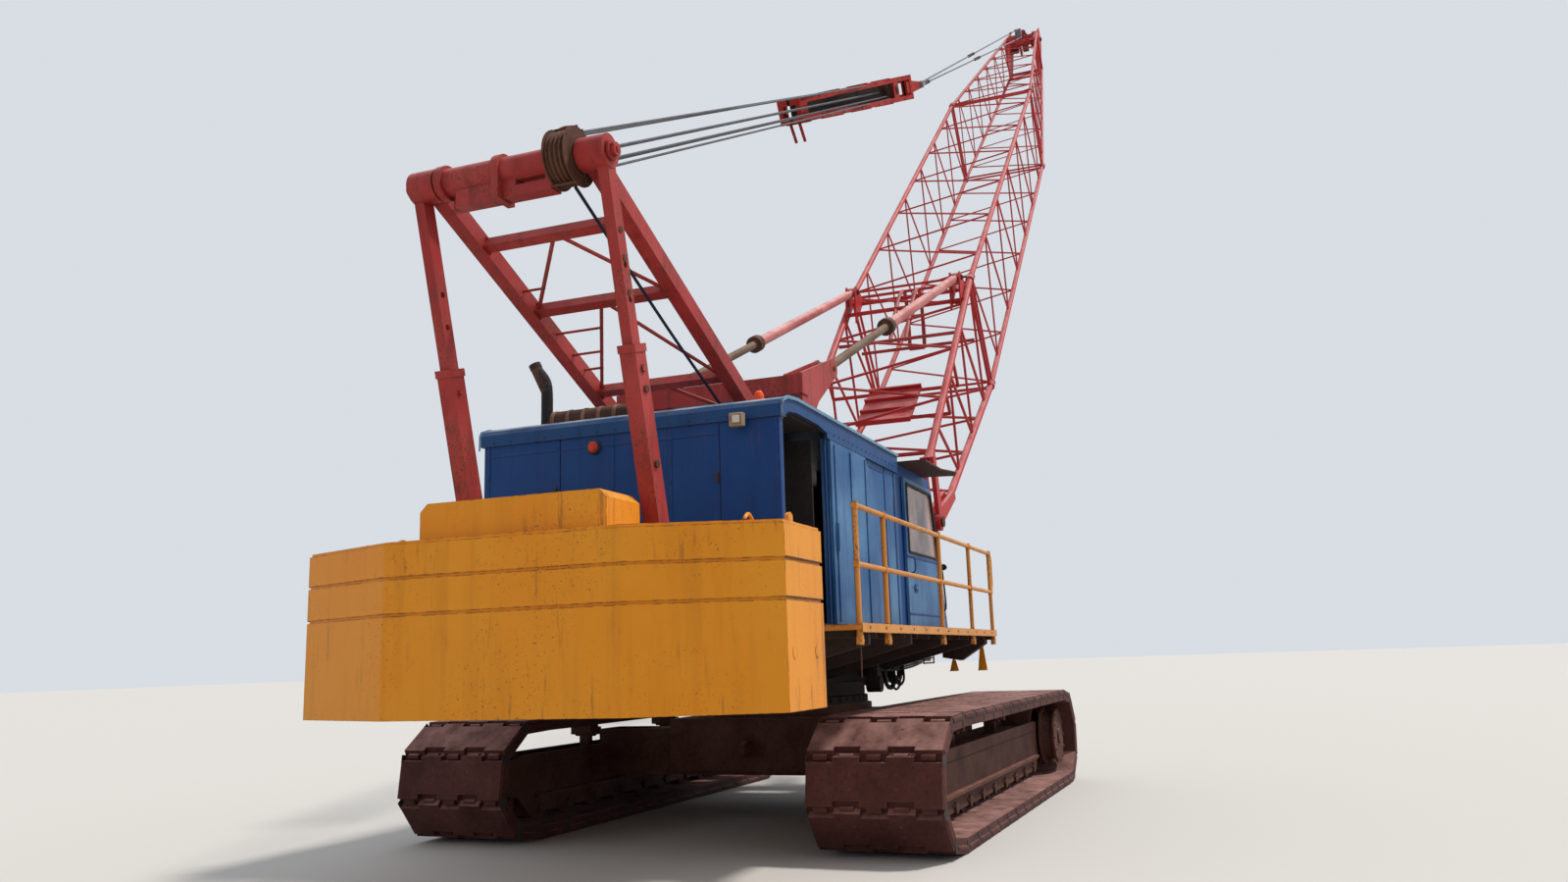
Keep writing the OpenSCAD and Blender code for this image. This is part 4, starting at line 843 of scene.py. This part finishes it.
def swing_gearboxes():
    """Two swing gearboxes over the bearing, a slanting corner plate, a small motor and a low rail."""
    f = Form()
    x = 0.95
    for y in (-0.62, 0.62):
        f.tube((x, y, 1.30), (x, y, 1.56), 0.15, 20)
        f.tube((x, y, 1.26), (x, y, 1.31), 0.19, 20)
        for dx, dy in round_points(8, 0.17):
            f.bolt((x + dx, y + dy, 1.26), (0, 0, -1), 0.011, 0.012)
    corner = ((-1.36, 1.72), (-1.36, 1.53), (-1.58, 1.49), (-1.88, 1.68), (-1.88, 1.76))
    f.plate([(1.86, y, z) for y, z in corner], (-0.16, 0, 0))
    f.tube((0.35, -0.98, 1.27), (0.35, -0.82, 1.27), 0.085, 20)
    f.box((0.30, -0.95, 1.33), (0.40, -0.85, 1.60))
    for z in (1.47, 1.53):
        f.tube((1.70, -1.12, z), (2.25, -1.12, z), 0.010, 8)
    for x in (1.72, 2.23):
        f.tube((x, -1.12, 1.46), (x, -1.12, 1.60), 0.010, 8)
    f.done("swing_gearboxes", "dark", "upper", 0.006)


# Crawlers
AXLE_X, AXLE_Z, LOOP_R = 2.69, 0.55, 0.47
SHOES, SHOE_W, SHOE_T, GAUGE = 36, 1.12, 0.08, 4.04
KNUCKLES = 5
SHOE_SHIFT = 0.66
ROLLERS = 9
ROLLER_Z = AXLE_Z - LOOP_R + 0.145


def loop_point(t):
    """Point of the pin line, t metres from the middle of the lower run."""
    half = math.pi * LOOP_R
    total = 4 * AXLE_X + 2 * half
    t %= total
    if t < AXLE_X:
        return Vector((t, 0, AXLE_Z - LOOP_R))
    if t < AXLE_X + half:
        a = (t - AXLE_X) / LOOP_R - math.pi / 2
        return Vector((AXLE_X + LOOP_R * math.cos(a), 0, AXLE_Z + LOOP_R * math.sin(a)))
    if t < 3 * AXLE_X + half:
        return Vector((AXLE_X - (t - AXLE_X - half), 0, AXLE_Z + LOOP_R))
    if t < 3 * AXLE_X + 2 * half:
        a = (t - 3 * AXLE_X - half) / LOOP_R + math.pi / 2
        return Vector((-AXLE_X + LOOP_R * math.cos(a), 0, AXLE_Z + LOOP_R * math.sin(a)))
    return Vector((t - total, 0, AXLE_Z - LOOP_R))


def dress_shoe(p, q, middle_y, knuckles, bolts, ends, gap_shade):
    """One shoe, pin p to pin q: hinge knuckles, bolts, rounded ends, painted shade where shoes meet."""
    way = (q - p).normalized()
    out = Vector((way.z, 0, -way.x))
    reach = Vector((0, 0.058, 0))
    for k in range(KNUCKLES):
        y = middle_y + (k - 2) * SHOE_W / KNUCKLES
        at = p + out * 0.034 + Vector((0, y, 0))
        knuckles.tube(turned(*(at - reach)), turned(*(at + reach)), 0.030, 10)
    sole = (p + q) / 2 + out * (SHOE_T - 0.001)
    for dx in (-0.055, 0.055):
        for dy in (-0.19, 0.19):
            at = sole + way * dx + Vector((0, middle_y + dy, 0))
            head = 0.003 if at.z > 0.02 else 0
            bolts.tube(turned(*(at - out * 0.003)), turned(*(at + out * head)), 0.012, 8)
    shift = way * 0.022
    for face in BOTH:
        over = Vector((0, middle_y + face * (SHOE_W / 2 - 0.030), 0)) + out * 0.042
        ends.tube(turned(*(p + over + shift + way * 0.042)), turned(*(q + over + shift - way * 0.042)),
                  0.040, 12)
        # Dark plates at each hinge: painted shade where the shoes meet
        end = p + Vector((0, middle_y + face * SHOE_W / 2, 0)) + shift
        outline = ((-0.040, -0.03), (0.040, -0.03), (0.036, SHOE_T - 0.002), (-0.036, SHOE_T - 0.002))
        gap_shade.plate([turned(*(end + way * a + out * b)) for a, b in outline], turned(0, face * 0.004, 0))


def track_details():
    """What every shoe of the two loops carries."""
    pitch = (4 * AXLE_X + 2 * math.pi * LOOP_R) / SHOES
    for side, label in SIDES:
        knuckles, bolts, ends, gap_shade = Form(), Form(), Form(), Form()
        for i in range(SHOES):
            p = loop_point((i - SHOE_SHIFT) * pitch)
            q = loop_point((i + 1 - SHOE_SHIFT) * pitch)
            dress_shoe(p, q, side * GAUGE / 2, knuckles, bolts, ends, gap_shade)
        knuckles.done("shoe_knuckles_" + label, "iron", "undercarriage")
        bolts.done("shoe_bolts_" + label, "rust", "undercarriage")
        ends.done("shoe_ends_" + label, "iron", "undercarriage")
        # Painted shade where the shoes meet
        gap_shade.done("shoe_gap_shade_" + label, "dark", "undercarriage")


def frame_bolts(side, label):
    """Roller axle caps, wheel bolts and a long weld on both faces of a crawler frame."""
    f = Form()
    for face in BOTH:
        y = side * GAUGE / 2 + face * 0.215
        outward = turned(0, face, 0)
        for k in range(ROLLERS):
            x = (2 * k / (ROLLERS - 1) - 1) * (AXLE_X - 0.62)
            f.tube(turned(x, y, ROLLER_Z), turned(x, y + face * 0.022, ROLLER_Z), 0.052, 14)
            for dx in (-0.075, 0.075):
                f.bolt(turned(x + dx, y, ROLLER_Z + 0.02), outward, 0.012, 0.014)
        for end in BOTH:
            for dx, dz in round_points(6, 0.105):
                f.bolt(turned(end * AXLE_X + dx, y, AXLE_Z + dz), outward, 0.014, 0.016)
        weld_x, weld_y = AXLE_X - 0.45, y + face * 0.004
        f.weld(turned(-weld_x, weld_y, 0.62), turned(weld_x, weld_y, 0.62), 0.008)
    f.done("frame_bolts_" + label, "rust", "undercarriage")


def drive_drum(f, middle_y, face, far):
    """A stepped drum with two bolted rings on one side of a front wheel, out to far."""
    def place(out, dx=0, dz=0):
        return turned(AXLE_X + dx, middle_y + face * out, AXLE_Z + dz)

    # Where each ring starts and ends across the crane, its radius and its hole
    rings = ((0.245, 0.275, 0.335, 0.22), (0.275, far - 0.03, 0.27, 0.235), (far - 0.03, far, 0.315, 0.10))
    for start, end, r, hole in rings:
        f.ring(place(start), place(end), r, hole, 40)
    f.tube(place(0.25), place(far + 0.02), 0.11, 20, 0.09)
    for dx, dz in round_points(12, 0.285):
        f.bolt(place(far, dx, dz), turned(0, face, 0), 0.014, 0.016)
    for dx, dz in round_points(12, 0.30, 0.26):
        f.bolt(place(0.275, dx, dz), turned(0, face, 0), 0.012, 0.014)


def track_frame_details():
    """What the two crawler frames and their front wheels carry."""
    for side, label in SIDES:
        frame_bolts(side, label)
        f = Form()
        drive_drum(f, side * GAUGE / 2, side, 0.43)
        drive_drum(f, side * GAUGE / 2, -side, 0.33)
        f.done("drive_drums_" + label, "under", "undercarriage", 0.004)


# Gantry and backstops
def peak_pin_heads():
    """The heads of the peak's pin, with their bolts."""
    f = Form()
    for side in BOTH:
        y = side * 0.864
        f.tube((PEAK.x, y, PEAK.z), (PEAK.x, y + side * 0.03, PEAK.z), 0.05, 20)
        f.bolt((PEAK.x, y + side * 0.02, PEAK.z), (0, side, 0), 0.022, 0.02)
        for dx, dz in round_points(3, 0.05, 0.5):
            f.bolt((PEAK.x + dx, y + side * 0.008, PEAK.z + dz), (0, side, 0), 0.009, 0.012)
    f.done("peak_pin_heads", "red", "upper")


def sheave_cheeks():
    """Thin cheek plates at both sides of the peak sheaves, the bars between them and a bent rope end."""
    r = 0.222
    f = Form()
    for y0, y1 in ((-0.413, -0.405), (-0.585, -0.577)):
        f.ring(PEAK + Vector((0, y0, 0)), PEAK + Vector((0, y1, 0)), r, 0.118, 40)
    for a in (math.radians(80), math.radians(100), math.radians(255)):
        x, z = r * math.cos(a), r * math.sin(a)
        f.tube(PEAK + Vector((x, -0.59, z)), PEAK + Vector((x, -0.40, z)), 0.010, 8)
    rope_end = ((-0.02, -0.40, r), (0.02, -0.44, r + 0.04), (0.05, -0.50, r + 0.05))
    f.hose([PEAK + Vector(p) for p in rope_end], 0.009, 6, 4)
    f.done("sheave_cheeks", "sheave", "rope_guard")


def leg_pins():
    """Pin heads along the outer and inner tubes of the rear legs."""
    rear_foot = Vector((-4.361, 0, 1.555))
    way = (PEAK - rear_foot).normalized()
    f = Form()
    for side in BOTH:
        # Where the heads sit along the leg, how far out, how thick, and their radius
        for places, y, thick, r in (((0.35, 0.9, 1.5, 2.05, 2.2), 0.856, 0.012, 0.03),
                                    ((2.75, 3.0, 3.2), 0.829, 0.006, 0.026)):
            for d in places:
                at = rear_foot + way * d + Vector((0, side * y, 0))
                f.tube(at, at + Vector((0, side * thick, 0)), r, 14)
    f.done("leg_pins", "rust", "upper")


def rung_welds():
    """Weld dots where the cross members meet the front legs."""
    front_foot = Vector((-0.6, 0, 2.98))
    way = (front_foot - PEAK).normalized()
    up = Vector((-way.z, 0, way.x))
    f = Form()
    for side in BOTH:
        for d in (0.67, 1.485, 2.65):
            for e in (-0.047, 0.047):
                for t in (-0.042, 0.042):
                    at = PEAK + way * (d + e) + up * t
                    f.tube(at + Vector((0, side * 0.60, 0)), at + Vector((0, side * 0.616, 0)), 0.011, 8)
    f.done("rung_welds", "red", "upper")


def cross_pin(name, body, at, half, r, bolt_y, bolt_r):
    """A pin across the crane with a bolt head at each end."""
    across = Vector((0, half, 0))
    f = Form()
    f.tube(at - across, at + across, r, 16)
    for side in (1, -1):
        f.bolt(at + Vector((0, side * bolt_y, 0)), (0, side, 0), bolt_r, 0.02)
    f.done(name, "rust", body)


def backstop_details():
    """Pins at both ends of the backstops, and collars where the rods enter their tubes."""
    low = Vector((-0.95, 0, 4.55))
    high = on_boom(5.01, 0, 1.53)
    way = (high - low).normalized()
    for s, label in SIDES[::-1]:
        side = Vector((0, 0.9 * s, 0))
        cross_pin("stop_pin_" + label, "upper", low + side, 0.09, 0.045, 0.09, 0.03)
        cross_pin("stop_upper_pin_" + label, "boom", high + side, 0.115, 0.043, 0.11, 0.028)
        f = Form()
        for d0, d1, r in ((4.86, 5.004, 0.112), (4.80, 4.86, 0.088)):
            f.ring(high - way * d0 + side, high - way * d1 + side, r, 0.054)
        f.done("stop_gland_" + label, "rust", "backstop_tube_" + label, 0.006)


# Boom
SECTION_JOINTS = (5.51, 18.31)
CHORD_LEVELS = (1.29, -0.76)
PENDANT_PIN = (27.11, 1.19)
HEAD_LEVEL = 0.67


def boom_flanges():
    """Collars and bolts at the section joints of the four chords."""
    f = Form()
    for s in SECTION_JOINTS:
        for y in (-BOOM_HALF, BOOM_HALF):
            for n in CHORD_LEVELS:
                for e in (-0.076, 0.076):
                    f.tube(on_boom(s + e - 0.006, y, n), on_boom(s + e + 0.006, y, n), 0.075, 12)
                for dy, dn in round_points(6, 0.062):
                    f.tube(on_boom(s - 0.05, y + dy, n + dn), on_boom(s + 0.05, y + dy, n + dn), 0.012, 6)
    f.done("boom_flanges", "red", "boom")


def rope_cradle():
    """A bent tube cradle on the back of the boom's base, with its cross tubes."""
    hook = [(3.90, 1.02), (4.60, 1.22), (5.10, 1.30), (5.42, 1.27), (5.52, 1.12), (5.38, 0.80),
            (5.15, 0.48), (5.02, 0.34)]
    f = Form()
    for y in (-0.13, 0.13):
        f.hose([on_boom(s, y, n) for s, n in hook], 0.034, 8, 4)
    for s, n in (hook[1], hook[5], hook[7]):
        f.tube(on_boom(s, -0.13, n), on_boom(s, 0.13, n), 0.026, 8)
    for s, n in ((5.04, 0.36), (3.90, 1.04)):
        f.tube(on_boom(s, -1.0, n), on_boom(s, 1.0, n), 0.03, 8)
    f.done("rope_cradle", "red", "boom")


def boom_pins():
    """Pin heads at the boom's feet, on its head axle and on the pendants' lug."""
    head_s, (lug_s, lug_n) = BOOM_LEN, PENDANT_PIN
    f = Form()
    for y in (-1.11, 1.11):
        f.tube(on_boom(0, y, 0), on_boom(0, y * 1.02, 0), 0.075, 16)
    for y in (-0.50, 0.50):
        f.tube(on_boom(head_s, y, HEAD_LEVEL), on_boom(head_s, y * 1.06, HEAD_LEVEL), 0.075, 16)
        f.tube(on_boom(head_s, y * 1.06, HEAD_LEVEL), on_boom(head_s, y * 1.09, HEAD_LEVEL), 0.045, 6)
    for y in (-0.13, 0.13):
        f.tube(on_boom(lug_s, y, lug_n), on_boom(lug_s, y * 1.25, lug_n), 0.06, 12)
    f.done("boom_pins", "rust", "boom")


# Boom stays
FRAME_START, FRAME_LEN = 6.95, 7.05


def frame_pins():
    """The sheave pin's heads on the floating frame, and bolts along both edges of its sides."""
    f = Form()
    for side in BOTH:
        y = side * 0.15
        outward = (0, side, 0)
        f.tube(on_stay(FRAME_PIN, y, 0), on_stay(FRAME_PIN, y + side * 0.02, 0), 0.07, 16)
        f.bolt(on_stay(FRAME_PIN, y + side * 0.02, 0), outward, 0.03, 0.015)
        for x in (7.1, 7.9, 9.0, 10.1, 11.2, 12.1, 13.2, 13.8):
            half = 0.155 + 0.06 * (x - FRAME_START) / FRAME_LEN
            for e in BOTH:
                f.bolt(on_stay(x, y, e * (half - 0.024)), outward, 0.014, 0.012)
    f.done("frame_pins", "rust", "bridle")


def pendant_clamps():
    """Pressed sleeves and joints along the pendants."""
    start = on_stay(15.3, 0, 0)
    end = on_boom(PENDANT_PIN[0], 0, PENDANT_PIN[1])
    way = (end - start).normalized()
    up = Vector((-way.z, 0, way.x))
    length = (end - start).length - 0.42
    f = Form()
    for side in BOTH:
        a = start + Vector((0, side * 0.0765, 0))
        b = start + way * length + Vector((0, side * 0.052, 0)) + up * side * 0.13
        for t in (0.016, 0.03, 0.40, 0.42, 0.44, 0.90, 0.97):
            f.tube(a.lerp(b, t), a.lerp(b, t + 0.009), 0.036, 12)
    f.done("pendant_clamps", "rust", "pendants")


# Silencer
def muffler_details():
    """The silencer's jacket with its bands and end cap, and the sooty exhaust pipe."""
    x, z = -3.10, 3.80
    f = Form()
    f.tube((x, 0.19, z), (x, 1.05, z), 0.094, 28)
    f.tube((x, 1.06, z), (x, 1.075, z), 0.06, 20)
    f.done("muffler_jacket", "rust", "upper", 0.003)
    f = Form()
    for y in (0.20, 0.36, 0.52, 0.68, 0.84, 1.00):
        f.tube((x, y, z), (x, y + 0.035, z), 0.099, 28)
    f.done("muffler_bands", "band", "upper", 0.003)
    f = Form()
    f.hose([(x, 1.13, 3.72), (x, 1.13, 4.08), (x - 0.005, 1.15, 4.20), (x - 0.025, 1.215, 4.30)],
           0.054, 14, 5)
    f.tube((x - 0.03, 1.228, 4.326), (x - 0.036, 1.246, 4.368), 0.058, 20)
    f.tube((x, 1.13, 3.70), (x, 1.13, 3.73), 0.07, 20)
    f.done("exhaust_rim", "soot_and_shade", "upper")


# Stage
def make_floor():
    bpy.ops.mesh.primitive_plane_add(size=400, location=(0, 0, -0.002))
    floor = bpy.context.object
    floor.name = "floor"
    n = Nodes("floor")
    n.shade(Base_Color=(0.52, 0.50, 0.47, 1), Roughness=0.9)
    floor.data.materials.append(n.mat)


def make_sky():
    world = bpy.data.worlds.new("studio")
    bpy.context.scene.world = world
    world.use_nodes = True
    sky = world.node_tree.nodes["Background"]
    sky.inputs["Color"].default_value = (0.86, 0.91, 0.97, 1)
    sky.inputs["Strength"].default_value = 0.8
    bpy.context.scene.view_settings.view_transform = "Standard"


def make_sun():
    sun = bpy.data.lights.new("key", "SUN")
    sun.energy = 3.0
    sun.angle = math.radians(6)
    sun.color = (1, 0.96, 0.9)
    obj = bpy.data.objects.new("key", sun)
    bpy.context.scene.collection.objects.link(obj)
    obj.rotation_euler = Vector((-0.35, 0.62, -1.1)).to_track_quat("-Z", "Y").to_euler()


for make in (make_camera, dress_nodes, stay_ropes, lead_rope, house_seams, eaves, doorway_seal, house_shade_sheets,
             house_bolts, roof_hatches, tail_lamp, work_lamp, beacon, rear_brackets, lifting_eyes,
             counterweight_bolts, cab_door_trim, windscreen_rubber, side_lamp_and_grip, visor_braces,
             rail_joints, walkway_treads, step_brackets, post_wire, deck_hoses, swing_gearboxes,
             track_details, track_frame_details, peak_pin_heads, sheave_cheeks, leg_pins, rung_welds,
             backstop_details, boom_flanges, rope_cradle, boom_pins, frame_pins, pendant_clamps,
             muffler_details, make_floor, make_sky, make_sun):
    make()
